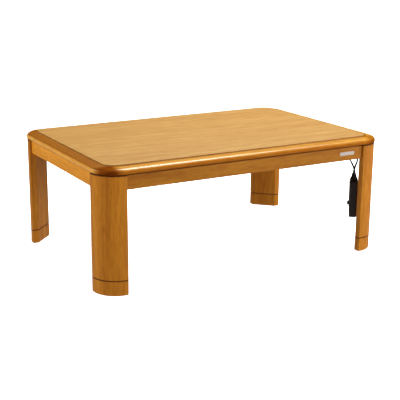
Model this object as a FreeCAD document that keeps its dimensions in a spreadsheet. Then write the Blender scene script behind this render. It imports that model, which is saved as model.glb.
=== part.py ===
import FreeCAD
import Part
import Sketcher
import math
import os
from FreeCAD import Placement, Rotation, Vector

# A kotatsu: a low heated table. The floor is z = 0, the long side runs along X,
# the front looks towards -Y, and the origin is on the floor under the table's centre.

os.makedirs("parts", exist_ok=True)
doc = FreeCAD.newDocument("KotatsuTable")

SIZES = {
    # The whole table
    "top_length": 1050.0,
    "top_depth": 700.0,
    "table_height": 400.0,
    # The top board: a veneered panel, tongued into a moulded solid rim
    "top_corner_radius": 80.0,
    "rim_width": 38.0,
    "rim_thickness": 25.0,
    "rim_crown_radius": 13.0,
    "rim_under_radius": 6.0,
    "rim_ledge_fall": 2.0,
    "panel_rise": 3.5,
    "panel_thickness": 20.0,
    "panel_easing": 0.8,
    "tongue_depth": 7.0,
    "tongue_height": 6.0,
    "tongue_lift": 9.0,
    # The rubber pads between the frame and the top board
    "rest_pad_diameter": 14.0,
    "rest_pad_sunk": 2.0,
    "rest_pad_stand": 1.0,
    # The legs and their extension feet, quarter round outside and flat inside
    "leg_setback": 2.0,
    "leg_span": 85.0,
    "leg_edge": 22.0,
    "leg_easing": 2.5,
    "foot_height": 48.0,
    "foot_joint_bevel": 1.2,
    "foot_sole_bevel": 2.0,
    # The pegs of the extension feet
    "peg_diameter": 10.0,
    "peg_length": 44.0,
    "peg_sunk": 20.0,
    "peg_spacing": 40.0,
    "peg_bevel": 1.0,
    "peg_clearance": 0.08,
    "peg_end_gap": 1.0,
    # The aprons
    "apron_setback": 8.0,
    "apron_thickness": 20.0,
    "apron_height": 46.0,
    "apron_easing": 2.0,
    # The pressed corner brackets and the bolts that pull the legs into the corners
    "bracket_thickness": 2.5,
    "bracket_height": 36.0,
    "bracket_flange": 58.0,
    "bracket_bend": 3.0,
    "bolt_diameter": 8.0,
    "bolt_spacing": 20.0,
    "bolt_sunk": 30.0,
    "bolt_stand": 13.0,
    "bolt_bevel": 0.8,
    "bolt_clearance": 0.3,
    "washer_diameter": 16.0,
    "washer_thickness": 1.6,
    "nut_width": 13.0,
    "nut_thickness": 6.5,
    "nut_bevel": 0.8,
    # The wood screws of the brackets and of the heater
    "screw_diameter": 4.0,
    "screw_length": 14.0,
    "screw_head_diameter": 8.0,
    "screw_head_height": 2.4,
    "screw_head_round": 1.2,
    "screw_clearance": 0.3,
    "bracket_screw_inset": 12.0,
    "bracket_screw_spacing": 24.0,
    # The rails and trimmers that frame the heater's opening
    "rail_width": 30.0,
    "rail_height": 30.0,
    "rail_housing": 8.0,
    "heater_opening": 300.0,
    # The heater: pan, bright reflector, two quartz tubes and a wire guard
    "sheet_thickness": 1.0,
    "flange_lap": 12.0,
    "flange_corner": 16.0,
    "pan_side": 292.0,
    "pan_height": 22.0,
    "pan_corner": 14.0,
    "heater_screw_inset": 6.0,
    "heater_screw_offset": 120.0,
    "reflector_thickness": 0.8,
    "trough_radius": 19.0,
    "tube_offset": 70.0,
    "tube_diameter": 13.0,
    "tube_wall": 1.2,
    "tube_length": 244.0,
    "holder_width": 22.0,
    "holder_thickness": 12.0,
    "holder_drop": 11.0,
    "holder_inset": 2.0,
    "holder_gap": 2.0,
    "guard_ring_thickness": 1.2,
    "guard_ring_width": 12.0,
    "guard_ring_inset": 11.0,
    "guard_wire": 2.4,
    "guard_drop": 20.0,
    "guard_bend": 8.0,
    "guard_pitch": 18.0,
    "guard_weld": 0.3,
    "guard_bar_offset": 75.0,
    "thermostat_diameter": 16.0,
    "thermostat_height": 6.0,
    "thermostat_place": 55.0,
    "thermostat_plate_length": 28.0,
    "thermostat_plate_width": 10.0,
    "thermostat_plate": 1.0,
    "fuse_diameter": 5.0,
    "fuse_length": 22.0,
    "fuse_lead_diameter": 1.2,
    "fuse_lead_length": 8.0,
    "fuse_place": 40.0,
    # The heater's terminal cover, its socket and the lead's connector
    "terminal_gap": 1.0,
    "terminal_length": 38.0,
    "terminal_width": 70.0,
    "terminal_height": 24.0,
    "terminal_round": 3.0,
    "terminal_place": 20.0,
    "socket_width": 26.0,
    "socket_height": 12.0,
    "socket_depth": 14.0,
    "socket_clearance": 0.3,
    "inlet_pin_diameter": 4.0,
    "inlet_pin_length": 11.0,
    "inlet_pin_spacing": 12.0,
    "connector_width": 32.0,
    "connector_height": 18.0,
    "connector_length": 20.0,
    "connector_round": 2.5,
    "relief_length": 20.0,
    "relief_diameter": 11.0,
    "relief_end_diameter": 8.4,
    # The cords and the clips that hold them
    "cord_diameter": 6.5,
    "clip_wall": 1.6,
    "clip_width": 8.0,
    "clip_stand": 6.0,
    "clip_clearance": 0.3,
    "clip_foot": 2.0,
    "clip_foot_length": 22.0,
    "clip_nail_diameter": 6.0,
    "clip_nail_height": 1.2,
    "clip_nail_place": 10.0,
    "clip_height": 11.0,
    "clip_from_rail": 30.0,
    # The hand controller
    "controller_x": 477.0,
    "controller_y": 257.0,
    "controller_z": 99.0,
    "controller_turn": 143.0,
    "controller_height": 136.0,
    "controller_width": 50.0,
    "controller_half": 13.0,
    "controller_corner": 9.0,
    "controller_round": 3.5,
    "controller_wall": 2.0,
    "face_width": 32.0,
    "face_height": 92.0,
    "face_top": 5.0,
    "face_rise": 2.0,
    "face_corner": 5.0,
    "slot_width": 5.0,
    "slot_length": 36.0,
    "slot_lift": 6.0,
    "knob_width": 18.0,
    "knob_height": 10.0,
    "knob_rise": 5.0,
    "knob_round": 1.5,
    "knob_gap": 0.3,
    "knob_stem_width": 4.0,
    "knob_stem_height": 8.0,
    "knob_stem_length": 7.0,
    "switch_width": 22.0,
    "switch_height": 60.0,
    "lamp_diameter": 5.0,
    "lamp_rise": 1.0,
    "lamp_inset": 9.0,
    "boss_diameter": 8.0,
    "boss_inset": 15.0,
    "case_screw_diameter": 3.0,
    "case_screw_length": 14.0,
    "case_head_diameter": 5.6,
    "case_head_height": 1.8,
    "bushing_x": 5.0,
    "bushing_y": 10.0,
    "bushing_collar": 3.0,
    "bushing_collar_diameter": 13.0,
    "bushing_length": 17.0,
    "bushing_tilt": 8.0,
    # The coil in which the rest of the mains cord is put away, and its tie
    "coil_x": -441.0,
    "coil_y": -212.0,
    "coil_radius": 41.0,
    "coil_step": 7.1,
    "coil_layer": 7.1,
    "coil_lift": 1.3,
    "tie_thickness": 0.8,
    "tie_width": 8.0,
    "tie_clearance": 0.3,
    # The wall plug
    "plug_x": -376.0,
    "plug_y": -149.0,
    "plug_turn": 72.0,
    "plug_width": 24.0,
    "plug_height": 15.0,
    "plug_length": 28.0,
    "plug_round": 3.5,
    "plug_relief": 20.0,
    "blade_width": 6.3,
    "blade_thickness": 1.5,
    "blade_length": 17.0,
    "blade_spacing": 12.7,
    "floor_gap": 0.3,
}

ROOT_TWO = math.sqrt(2)

sheet = doc.addObject("Spreadsheet::Sheet", "Sizes")
for row, (alias, number) in enumerate(SIZES.items(), start=1):
    sheet.set(f"A{row}", alias)
    sheet.set(f"B{row}", str(number))
    sheet.setAlias(f"B{row}", alias)
doc.recompute()


class Size:
    """A size of the table: its value, and the formula that ties it to the sheet."""

    def __init__(self, value, formula):
        self.value = value
        self.formula = formula

    def join(self, other, sign, value):
        return Size(value, f"({self.formula} {sign} {size_of(other).formula})")

    def __add__(self, other):
        return self.join(other, "+", self.value + size_of(other).value)

    def __sub__(self, other):
        return self.join(other, "-", self.value - size_of(other).value)

    def __mul__(self, other):
        return self.join(other, "*", self.value * size_of(other).value)

    def __truediv__(self, other):
        return self.join(other, "/", self.value / size_of(other).value)

    def __rmul__(self, other):
        return size_of(other) * self

    def __neg__(self):
        return self * -1


def size_of(number):
    return number if isinstance(number, Size) else Size(float(number), f"({number})")


class Sheet:
    """Reads a named size from the sheet."""

    def __getattr__(self, alias):
        return Size(float(sheet.get(alias)), f"Sizes.{alias}")


mm = Sheet()
NOTHING = size_of(0)

# Sketcher's numbers for the places on an edge, and for the sketch's own origin

START, END, CENTRE = range(1, 4)
ORIGIN = (-1, START)
nodes = []


# How the pieces are drawn, placed and cut

def bind(item, **sizes):
    for name, size in sizes.items():
        setattr(item, name, size_of(size).value)
        item.setExpression(name, size_of(size).formula)
    return item


def bind_vector(item, name, vector):
    for axis, size in zip("xyz", vector):
        item.setExpression(f"{name}.{axis}", size_of(size).formula)
    return item


def place(item, x=NOTHING, y=NOTHING, z=NOTHING, turn=None):
    item.Placement = Placement(Vector(), turn or Rotation())
    return bind_vector(item, "Placement.Base", (x, y, z))


def upright(degrees):
    return Rotation(Vector(0, 0, 1), degrees)


def keep(item):
    nodes.append(item)
    return item


def new_body(label):
    item = doc.addObject("PartDesign::Body", label)
    item.Label = label
    return item


def origin_plane(body, role):
    return next(f for f in body.Origin.OriginFeatures if f.Role == role)


class Drawing:
    """A sketch on one of a body's origin planes, with every corner tied to sizes."""

    def __init__(self, body, role, lift=NOTHING):
        self.sketch = body.newObject("Sketcher::SketchObject", "Drawing")
        self.sketch.AttachmentSupport = [(origin_plane(body, role), "")]
        self.sketch.MapMode = "FlatFace"
        self.sketch.setExpression("AttachmentOffset.Base.z", lift.formula)

    def tie(self, kind, *place_and_size):
        *place_in_sketch, size = place_and_size
        size = size_of(size)
        number = self.sketch.addConstraint(Sketcher.Constraint(kind, *place_in_sketch, size.value))
        self.sketch.setExpression(f"Constraints[{number}]", size.formula)

    def tie_point(self, edge, end, x, y):
        self.tie("DistanceX", *ORIGIN, edge, end, x)
        self.tie("DistanceY", *ORIGIN, edge, end, y)

    def circle(self, x, y, radius):
        shape = Part.Circle(Vector(size_of(x).value, size_of(y).value), Vector(0, 0, 1), radius.value)
        edge = self.sketch.addGeometry(shape)
        self.tie_point(edge, CENTRE, x, y)
        self.tie("Radius", edge, radius)

    def path(self, start, *moves):
        """Lines and arcs. A move is (x, y), or (x, y, centre x, centre y, turn)."""
        ends = []
        here = start
        for move in moves:
            a, b = [Vector(size_of(p[0]).value, size_of(p[1]).value) for p in (here, move)]
            if len(move) == 2:
                edge = self.sketch.addGeometry(Part.LineSegment(a, b))
                ends.append((edge, START, END))
            else:
                x, y, centre_x, centre_y, turn = move
                centre = Vector(size_of(centre_x).value, size_of(centre_y).value)
                first, last = (a, b) if turn == "left" else (b, a)
                angles = [math.atan2(p.y - centre.y, p.x - centre.x) for p in (first, last)]
                round_it = Part.Circle(centre, Vector(0, 0, 1), (a - centre).Length)
                edge = self.sketch.addGeometry(Part.ArcOfCircle(round_it, *angles))
                ends.append((edge, START, END) if turn == "left" else (edge, END, START))
                if abs(b.x - a.x) > abs(b.y - a.y):
                    self.tie("DistanceY", *ORIGIN, edge, CENTRE, centre_y)
                else:
                    self.tie("DistanceX", *ORIGIN, edge, CENTRE, centre_x)
            here = move
        for (edge, _, end), (following, begin, _) in zip(ends, ends[1:]):
            self.sketch.addConstraint(Sketcher.Constraint("Coincident", edge, end, following, begin))
        for (edge, begin, _), point in zip(ends, (start,) + moves):
            self.tie_point(edge, begin, point[0], point[1])
        return ends

    def outline(self, start, *moves, closing_arc=()):
        ends = self.path(start, *moves, start + closing_arc)
        (first, begin, _), (last, _, end) = ends[0], ends[-1]
        self.sketch.addConstraint(Sketcher.Constraint("Coincident", last, end, first, begin))

    def open_path(self, start, *moves):
        ends = self.path(start, *moves)
        last, _, end = ends[-1]
        self.tie_point(last, end, moves[-1][0], moves[-1][1])

    def rounded_rectangle(self, length, depth, radius, x=NOTHING, y=NOTHING):
        left, right = x - length / 2, x + length / 2
        low, high = y - depth / 2, y + depth / 2
        self.outline(
            (left + radius, low),
            (right - radius, low),
            (right, low + radius, right - radius, low + radius, "left"),
            (right, high - radius),
            (right - radius, high, right - radius, high - radius, "left"),
            (left + radius, high),
            (left, high - radius, left + radius, high - radius, "left"),
            (left, low + radius),
            closing_arc=(left + radius, low + radius, "left"),
        )


def pad(body, drawing, length, middle=False, backwards=False):
    item = body.newObject("PartDesign::Pad", "Pad")
    item.Profile = drawing.sketch
    item.Midplane = middle
    item.Reversed = backwards
    bind(item, Length=length)
    doc.recompute()
    return item


def pocket(body, drawing, length, backwards=False):
    before = volume_of(body)
    item = body.newObject("PartDesign::Pocket", "Pocket")
    item.Profile = drawing.sketch
    item.Reversed = backwards
    bind(item, Length=length)
    doc.recompute()
    must_remove(body, before)
    return item


def volume_of(body):
    return 0 if body.Shape.isNull() else body.Shape.Volume


def must_remove(body, before):
    if not volume_of(body) < before:
        raise RuntimeError(f"{body.Label}: a cut removed nothing")


def add(body, kind, x=NOTHING, y=NOTHING, z=NOTHING, turn=None, **sizes):
    """A primitive of a body, such as AdditiveBox or SubtractiveCylinder, at its place."""
    before = volume_of(body)
    item = body.newObject(f"PartDesign::{kind}", kind)
    bind(item, **sizes)
    place(item, x, y, z, turn)
    doc.recompute()
    if kind.startswith("Subtractive"):
        must_remove(body, before)
    return item


def edges_where(body, wanted):
    names = []
    for number, edge in enumerate(body.Shape.Edges, start=1):
        middle = edge.valueAt((edge.FirstParameter + edge.LastParameter) / 2)
        if wanted(edge, middle):
            names.append(f"Edge{number}")
    return names


def ease(body, kind, size, wanted):
    """A fillet or a bevel on the edges that are wanted."""
    base = (body.Tip, edges_where(body, wanted))
    item = body.newObject(f"PartDesign::{kind}", kind)
    item.Base = base
    bind(item, **{"Radius" if kind == "Fillet" else "Size": size})
    body.Tip = item
    doc.recompute()
    return item


def close_to(one, other, slack=1e-4):
    return abs(one - size_of(other).value) < slack


def stands_up(edge):
    a, b = edge.firstVertex().Point, edge.lastVertex().Point
    return edge.Curve.TypeId == "Part::GeomLine" and close_to(a.x, b.x) and close_to(a.y, b.y)


def solid(kind, label, **sizes):
    item = doc.addObject(f"Part::{kind}", label)
    item.Label = label
    return bind(item, **sizes)


def combine(kind, label, base, tool):
    item = doc.addObject(f"Part::{kind}", label)
    item.Label = label
    item.Base = base
    item.Tool = tool
    return item


def group(label, items):
    item = doc.addObject("Part::Compound", label)
    item.Label = label
    item.Links = items
    return item


def mirror(item, normal, base=(NOTHING, NOTHING, NOTHING)):
    image = doc.addObject("Part::Mirroring", "Image")
    image.Source = item
    image.Normal = normal
    bind_vector(image, "Base", base)
    return image


def with_mirror(label, item, normal, base=(NOTHING, NOTHING, NOTHING)):
    return group(label, [item, mirror(item, normal, base)])


def at_four_corners(label, item):
    pair = with_mirror("Pair", item, Vector(1, 0, 0))
    return with_mirror(label, pair, Vector(0, 1, 0))


# Lines that the whole table shares

rim_underside = mm.table_height - mm.rim_thickness
frame_top = rim_underside - mm.rest_pad_stand
frame_bottom = frame_top - mm.apron_height
half_length = mm.top_length / 2
half_depth = mm.top_depth / 2
leg_x = half_length - mm.leg_setback
leg_y = half_depth - mm.leg_setback
apron_inside = mm.apron_setback + mm.apron_thickness
leg_round = mm.top_corner_radius - mm.leg_setback
leg_diagonal = mm.leg_span + mm.leg_edge
CORNERS = {
    "front_left": (-1, -1, 0),
    "front_right": (1, -1, 90),
    "back_right": (1, 1, 180),
    "back_left": (-1, 1, 270),
}


# The rim of the top board: four moulded strips and four corner blocks

def rim_profile(drawing, outer_face):
    crown = mm.rim_thickness - mm.panel_rise - mm.rim_ledge_fall
    inner_face = outer_face + mm.rim_width
    under, round_over = mm.rim_under_radius, mm.rim_crown_radius
    groove_top = mm.tongue_lift + mm.tongue_height
    drawing.outline(
        (inner_face, NOTHING),
        (outer_face + under, NOTHING),
        (outer_face, under, outer_face + under, under, "right"),
        (outer_face, crown - round_over),
        (outer_face + round_over, crown, outer_face + round_over, crown - round_over, "right"),
        (inner_face, crown + mm.rim_ledge_fall),
        (inner_face, groove_top),
        (inner_face - mm.tongue_depth, groove_top),
        (inner_face - mm.tongue_depth, mm.tongue_lift),
        (inner_face, mm.tongue_lift),
    )


def make_rim_strip(label, length, x, y, degrees):
    body = new_body(label)
    drawing = Drawing(body, "YZ_Plane")
    rim_profile(drawing, NOTHING)
    pad(body, drawing, length, middle=True)
    keep(place(body, x, y, rim_underside, upright(degrees)))


def make_rim_corner(label, x, y, degrees):
    body = new_body(label)
    drawing = Drawing(body, "XZ_Plane")
    rim_profile(drawing, -mm.top_corner_radius)
    turned = body.newObject("PartDesign::Revolution", "Revolution")
    turned.Profile = drawing.sketch
    turned.ReferenceAxis = (drawing.sketch, ["V_Axis"])
    turned.Angle = 90
    doc.recompute()
    if body.Shape.CenterOfMass.y > 0:
        turned.Reversed = True
        doc.recompute()
    keep(place(body, x, y, rim_underside, upright(degrees)))


strip_x = mm.top_length - mm.top_corner_radius * 2
strip_y = mm.top_depth - mm.top_corner_radius * 2
make_rim_strip("top_rim_front", strip_x, NOTHING, -half_depth, 0)
make_rim_strip("top_rim_back", strip_x, NOTHING, half_depth, 180)
make_rim_strip("top_rim_left", strip_y, -half_length, NOTHING, 270)
make_rim_strip("top_rim_right", strip_y, half_length, NOTHING, 90)
for corner, (side_x, side_y, degrees) in CORNERS.items():
    make_rim_corner(f"top_rim_corner_{corner}", strip_x / 2 * side_x, strip_y / 2 * side_y, degrees)


# The veneered panel, with a tongue all round that sits in the rim's groove

panel = new_body("top_panel")
panel_length = mm.top_length - mm.rim_width * 2
panel_depth = mm.top_depth - mm.rim_width * 2
panel_corner = mm.top_corner_radius - mm.rim_width
face = Drawing(panel, "XY_Plane", mm.rim_thickness - mm.panel_thickness)
face.rounded_rectangle(panel_length, panel_depth, panel_corner)
pad(panel, face, mm.panel_thickness)
ease(panel, "Fillet", mm.panel_easing, lambda edge, middle: close_to(middle.z, mm.rim_thickness))
tongue = Drawing(panel, "XY_Plane", mm.tongue_lift)
grown = mm.tongue_depth * 2
tongue.rounded_rectangle(panel_length + grown, panel_depth + grown, panel_corner + mm.tongue_depth)
pad(panel, tongue, mm.tongue_height)
keep(place(panel, z=rim_underside))


# The legs and the extension feet share one section: a quarter round and a flat

def leg_section(drawing):
    drawing.outline(
        (NOTHING, leg_round),
        (leg_round, NOTHING, leg_round, leg_round, "left"),
        (mm.leg_span, NOTHING),
        (mm.leg_span, mm.leg_edge),
        (mm.leg_edge, mm.leg_span),
        (NOTHING, mm.leg_span),
    )


def is_leg_arris(edge, middle):
    on_edge = close_to(middle.x, mm.leg_span) or close_to(middle.y, mm.leg_span)
    return stands_up(edge) and on_edge


def at_level(level):
    return lambda edge, middle: close_to(middle.z, level) and not stands_up(edge)


peg_middle = (leg_diagonal / ROOT_TWO + leg_round * (ROOT_TWO - 1)) / (2 * ROOT_TWO)
peg_side = mm.peg_spacing / (2 * ROOT_TWO)


def peg_circles(drawing, radius):
    drawing.circle(peg_middle + peg_side, peg_middle - peg_side, radius)
    drawing.circle(peg_middle - peg_side, peg_middle + peg_side, radius)


def along_diagonal(distance):
    """A place on the leg's diagonal, measured from the outer corner."""
    return {"x": distance / ROOT_TWO, "y": distance / ROOT_TWO}


diagonal_axis = Rotation(Vector(0, 0, 1), Vector(1, 1, 0))
leg_flat = leg_diagonal / ROOT_TWO
bracket_middle = frame_top - mm.apron_height / 2
bolt_levels = [bracket_middle - mm.bolt_spacing / 2, bracket_middle + mm.bolt_spacing / 2]


def at_corner(item, side_x, side_y, degrees, z=NOTHING):
    return place(item, leg_x * side_x, leg_y * side_y, z, upright(degrees))


def make_leg(label, *corner):
    body = new_body(label)
    section = Drawing(body, "XY_Plane", mm.foot_height)
    leg_section(section)
    pad(body, section, frame_top - mm.foot_height)
    ease(body, "Fillet", mm.leg_easing, is_leg_arris)
    ease(body, "Chamfer", mm.foot_joint_bevel, at_level(mm.foot_height))
    holes = Drawing(body, "XY_Plane", mm.foot_height)
    peg_circles(holes, mm.peg_diameter / 2 + mm.peg_clearance)
    pocket(body, holes, mm.peg_length - mm.peg_sunk + mm.peg_end_gap, backwards=True)
    recess = Drawing(body, "XY_Plane", frame_top)
    recess.circle(peg_middle, peg_middle, mm.rest_pad_diameter / 2)
    pocket(body, recess, mm.rest_pad_sunk)
    for level in bolt_levels:
        start = along_diagonal(leg_flat - mm.bolt_sunk)
        add(body, "SubtractiveCylinder", z=level, turn=diagonal_axis, **start,
            Radius=mm.bolt_diameter / 2, Height=mm.bolt_sunk * 2)
    keep(at_corner(body, *corner))


def make_foot(label, *corner):
    body = new_body(label)
    section = Drawing(body, "XY_Plane")
    leg_section(section)
    pad(body, section, mm.foot_height)
    ease(body, "Fillet", mm.leg_easing, is_leg_arris)
    ease(body, "Chamfer", mm.foot_joint_bevel, at_level(mm.foot_height))
    ease(body, "Chamfer", mm.foot_sole_bevel, at_level(NOTHING))
    holes = Drawing(body, "XY_Plane", mm.foot_height)
    peg_circles(holes, mm.peg_diameter / 2)
    pocket(body, holes, mm.peg_sunk)
    keep(at_corner(body, *corner))


def make_pegs(label, *corner):
    body = new_body(label)
    circles = Drawing(body, "XY_Plane", mm.foot_height - mm.peg_sunk)
    peg_circles(circles, mm.peg_diameter / 2)
    pad(body, circles, mm.peg_length)
    ease(body, "Chamfer", mm.peg_bevel, at_level(mm.foot_height - mm.peg_sunk + mm.peg_length))
    keep(at_corner(body, *corner))


for corner, where in CORNERS.items():
    make_leg(f"{corner}_leg", *where)
    make_foot(f"{corner}_foot", *where)
    make_pegs(f"{corner}_foot_pegs", *where)


# The aprons butt against the legs' end faces, and two of them house the cross rails

rail_middle = mm.heater_opening / 2 + mm.rail_width / 2
into_apron = Rotation(Vector(1, 0, 0), 90)


def make_apron(label, length, x, y, degrees, houses_rails):
    body = new_body(label)
    section = Drawing(body, "YZ_Plane")
    section.outline(
        (NOTHING, NOTHING),
        (mm.apron_thickness, NOTHING),
        (mm.apron_thickness, mm.apron_height),
        (NOTHING, mm.apron_height),
    )
    pad(body, section, length, middle=True)
    along = lambda edge, middle: close_to(middle.x, NOTHING) and close_to(middle.z, NOTHING)
    ease(body, "Fillet", mm.apron_easing, along)
    for side in (-1, 1):
        if houses_rails:
            add(body, "SubtractiveBox", x=rail_middle * side - mm.rail_width / 2,
                y=mm.apron_thickness - mm.rail_housing, z=mm.apron_height - mm.rail_height,
                Length=mm.rail_width, Width=mm.rail_housing * 2, Height=mm.rail_height * 2)
        for step in (0, 1):
            inset = mm.bracket_screw_inset + mm.bracket_screw_spacing * step
            add(body, "SubtractiveCylinder", x=(length / 2 - inset) * side,
                y=mm.apron_thickness * 2 - screw_grip, z=mm.apron_height / 2, turn=into_apron,
                Radius=mm.screw_diameter / 2, Height=mm.apron_thickness)
    keep(place(body, x, y, frame_bottom, upright(degrees)))


screw_grip = mm.screw_length - mm.bracket_thickness
apron_x = (leg_x - mm.leg_span) * 2
apron_y = (leg_y - mm.leg_span) * 2
apron_out_x = leg_x - mm.apron_setback
apron_out_y = leg_y - mm.apron_setback
make_apron("front_apron", apron_x, NOTHING, -apron_out_y, 0, True)
make_apron("back_apron", apron_x, NOTHING, apron_out_y, 180, True)
make_apron("left_apron", apron_y, -apron_out_x, NOTHING, 270, False)
make_apron("right_apron", apron_y, apron_out_x, NOTHING, 90, False)


# The pressed steel corner brackets, one shape at the four corners

bracket = new_body("Bracket")
bend = leg_diagonal - apron_inside
flange_end = bend + mm.bracket_flange
inner_bend = bend + mm.bracket_thickness * (ROOT_TWO - 1)
plate_inside = apron_inside + mm.bracket_thickness
strip = Drawing(bracket, "XY_Plane", bracket_middle - mm.bracket_height / 2)
strip.outline(
    (flange_end, apron_inside),
    (bend, apron_inside),
    (apron_inside, bend),
    (apron_inside, flange_end),
    (plate_inside, flange_end),
    (plate_inside, inner_bend),
    (inner_bend, plate_inside),
    (flange_end, plate_inside),
)
pad(bracket, strip, mm.bracket_height)


def bends_at(one, other):
    def wanted(edge, middle):
        there = close_to(middle.x, one) and close_to(middle.y, other)
        back = close_to(middle.x, other) and close_to(middle.y, one)
        return stands_up(edge) and (there or back)
    return wanted


ease(bracket, "Fillet", mm.bracket_bend, bends_at(inner_bend, plate_inside))
ease(bracket, "Fillet", mm.bracket_bend + mm.bracket_thickness, bends_at(bend, apron_inside))
bolt_hole = mm.bolt_diameter / 2 + mm.bolt_clearance
for level in bolt_levels:
    add(bracket, "SubtractiveCylinder", z=level, turn=diagonal_axis,
        **along_diagonal(leg_flat - mm.bracket_thickness),
        Radius=bolt_hole, Height=mm.bracket_thickness * 3)
flange_holes = [mm.leg_span + mm.bracket_screw_inset + mm.bracket_screw_spacing * k for k in (0, 1)]
for place_on_flange in flange_holes:
    hole = dict(z=bracket_middle, Radius=mm.screw_diameter / 2 + mm.screw_clearance,
                Height=mm.bracket_thickness * 3)
    add(bracket, "SubtractiveCylinder", x=place_on_flange, y=plate_inside + mm.bracket_thickness,
        turn=into_apron, **hole)
    add(bracket, "SubtractiveCylinder", x=apron_inside - mm.bracket_thickness, y=place_on_flange,
        turn=Rotation(Vector(0, 1, 0), 90), **hole)
at_corner(bracket, -1, -1, 0)
keep(at_four_corners("corner_brackets", bracket))


# The legs' hanger bolts, with their washers and hexagon nuts

def make_rod(label, radius, length, bevel):
    body = new_body(label)
    add(body, "AdditiveCylinder", Radius=radius, Height=length)
    ease(body, "Chamfer", bevel, lambda edge, middle: edge.Curve.TypeId == "Part::GeomCircle")
    return body


def on_diagonal(item, distance):
    """Puts a turned piece on the front left leg's upper bolt line."""
    step = distance / ROOT_TWO
    return place(item, step - leg_x, step - leg_y, bolt_levels[1], diagonal_axis)


def at_all_bolts(label, item):
    both = with_mirror("Both", item, Vector(0, 0, 1), (NOTHING, NOTHING, bracket_middle))
    return keep(at_four_corners(label, both))


bolt_length = mm.bolt_sunk + mm.bracket_thickness + mm.bolt_stand
bolt = make_rod("Bolt", mm.bolt_diameter / 2, bolt_length, mm.bolt_bevel)
on_diagonal(bolt, leg_flat - mm.bolt_sunk)
at_all_bolts("leg_hanger_bolts", bolt)

disc = solid("Cylinder", "WasherDisc", Radius=mm.washer_diameter / 2, Height=mm.washer_thickness)
eye = solid("Cylinder", "WasherEye", Radius=bolt_hole, Height=mm.washer_thickness * 2)
for piece in (disc, eye):
    on_diagonal(piece, leg_flat + mm.bracket_thickness)
at_all_bolts("leg_bolt_washers", combine("Cut", "Washer", disc, eye))

nut_across = mm.nut_width * 2 / math.sqrt(3)
hexagon = solid("Prism", "NutPrism", Circumradius=nut_across / 2, Height=mm.nut_thickness)
hexagon.Polygon = 6
cap = solid("Cone", "NutCone", Radius1=nut_across / 2 + mm.nut_thickness - mm.nut_bevel,
            Radius2=nut_across / 2 - mm.nut_bevel, Height=mm.nut_thickness)
thread = solid("Cylinder", "NutThread", Radius=mm.bolt_diameter / 2, Height=mm.nut_thickness)
for piece in (hexagon, cap, thread):
    on_diagonal(piece, leg_flat + mm.bracket_thickness + mm.washer_thickness)
blank = combine("Common", "NutBlank", hexagon, cap)
at_all_bolts("leg_bolt_nuts", combine("Cut", "Nut", blank, thread))


# The bracket screws, through each flange into the aprons

def make_screw(label):
    """A pan head screw along +Z, with the underside of its head at the origin."""
    body = new_body(label)
    add(body, "AdditiveCylinder", z=-mm.screw_length, Radius=mm.screw_diameter / 2,
        Height=mm.screw_length)
    add(body, "AdditiveCylinder", Radius=mm.screw_head_diameter / 2, Height=mm.screw_head_height)
    crown = lambda edge, middle: close_to(middle.z, mm.screw_head_height)
    ease(body, "Fillet", mm.screw_head_round, crown)
    return body


inwards = Rotation(Vector(0, 0, 1), Vector(0, 1, 0))
flange_screws = []
for place_on_flange in flange_holes:
    screw = make_screw("BracketScrew")
    place(screw, place_on_flange - leg_x, plate_inside - leg_y, bracket_middle, inwards)
    flange_screws.append(screw)
one_flange = group("FlangeScrews", flange_screws)
both_flanges = with_mirror("CornerScrews", one_flange, Vector(1, -1, 0), (-leg_x, -leg_y, NOTHING))
keep(at_four_corners("bracket_screws", both_flanges))


# The rubber pads in the legs' tops, on which the top board rests

rest_pad = solid("Cylinder", "RestPad", Radius=mm.rest_pad_diameter / 2,
                 Height=mm.rest_pad_sunk + mm.rest_pad_stand)
place(rest_pad, peg_middle - leg_x, peg_middle - leg_y, frame_top - mm.rest_pad_sunk)
keep(at_four_corners("top_rest_pads", rest_pad))


# The rails and trimmers round the heater

rail_bottom = frame_top - mm.rail_height
rail_length = (apron_out_y - mm.apron_thickness + mm.rail_housing) * 2
for name, side in (("left", -1), ("right", 1)):
    rail = solid("Box", f"{name}_cross_rail", Length=mm.rail_width, Width=rail_length,
                 Height=mm.rail_height)
    keep(place(rail, rail_middle * side - mm.rail_width / 2, -rail_length / 2, rail_bottom))
for name, side in (("front", -1), ("back", 1)):
    trimmer = solid("Box", f"{name}_heater_trimmer", Length=mm.heater_opening,
                    Width=mm.rail_width, Height=mm.rail_height)
    keep(place(trimmer, -mm.heater_opening / 2, rail_middle * side - mm.rail_width / 2, rail_bottom))


# The heater's pan, pressed with a flange that is screwed under the rails

housing = new_body("heater_housing")
flange_side = mm.heater_opening + mm.flange_lap * 2
flange = Drawing(housing, "XY_Plane", -mm.sheet_thickness)
flange.rounded_rectangle(flange_side, flange_side, mm.flange_corner)
pad(housing, flange, mm.sheet_thickness)
pan = Drawing(housing, "XY_Plane")
pan.rounded_rectangle(mm.pan_side, mm.pan_side, mm.pan_corner)
pad(housing, pan, mm.pan_height)
hollow = Drawing(housing, "XY_Plane", -mm.sheet_thickness)
hollow_side = mm.pan_side - mm.sheet_thickness * 2
hollow.rounded_rectangle(hollow_side, hollow_side, mm.pan_corner - mm.sheet_thickness)
pocket(housing, hollow, mm.pan_height, backwards=True)
screw_x = flange_side / 2 - mm.heater_screw_inset
flange_hole = Drawing(housing, "XY_Plane")
for side_x, side_y, _ in CORNERS.values():
    flange_hole.circle(screw_x * side_x, mm.heater_screw_offset * side_y,
                       mm.screw_diameter / 2 + mm.screw_clearance)
pocket(housing, flange_hole, mm.sheet_thickness * 2)
keep(place(housing, z=rail_bottom))

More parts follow.
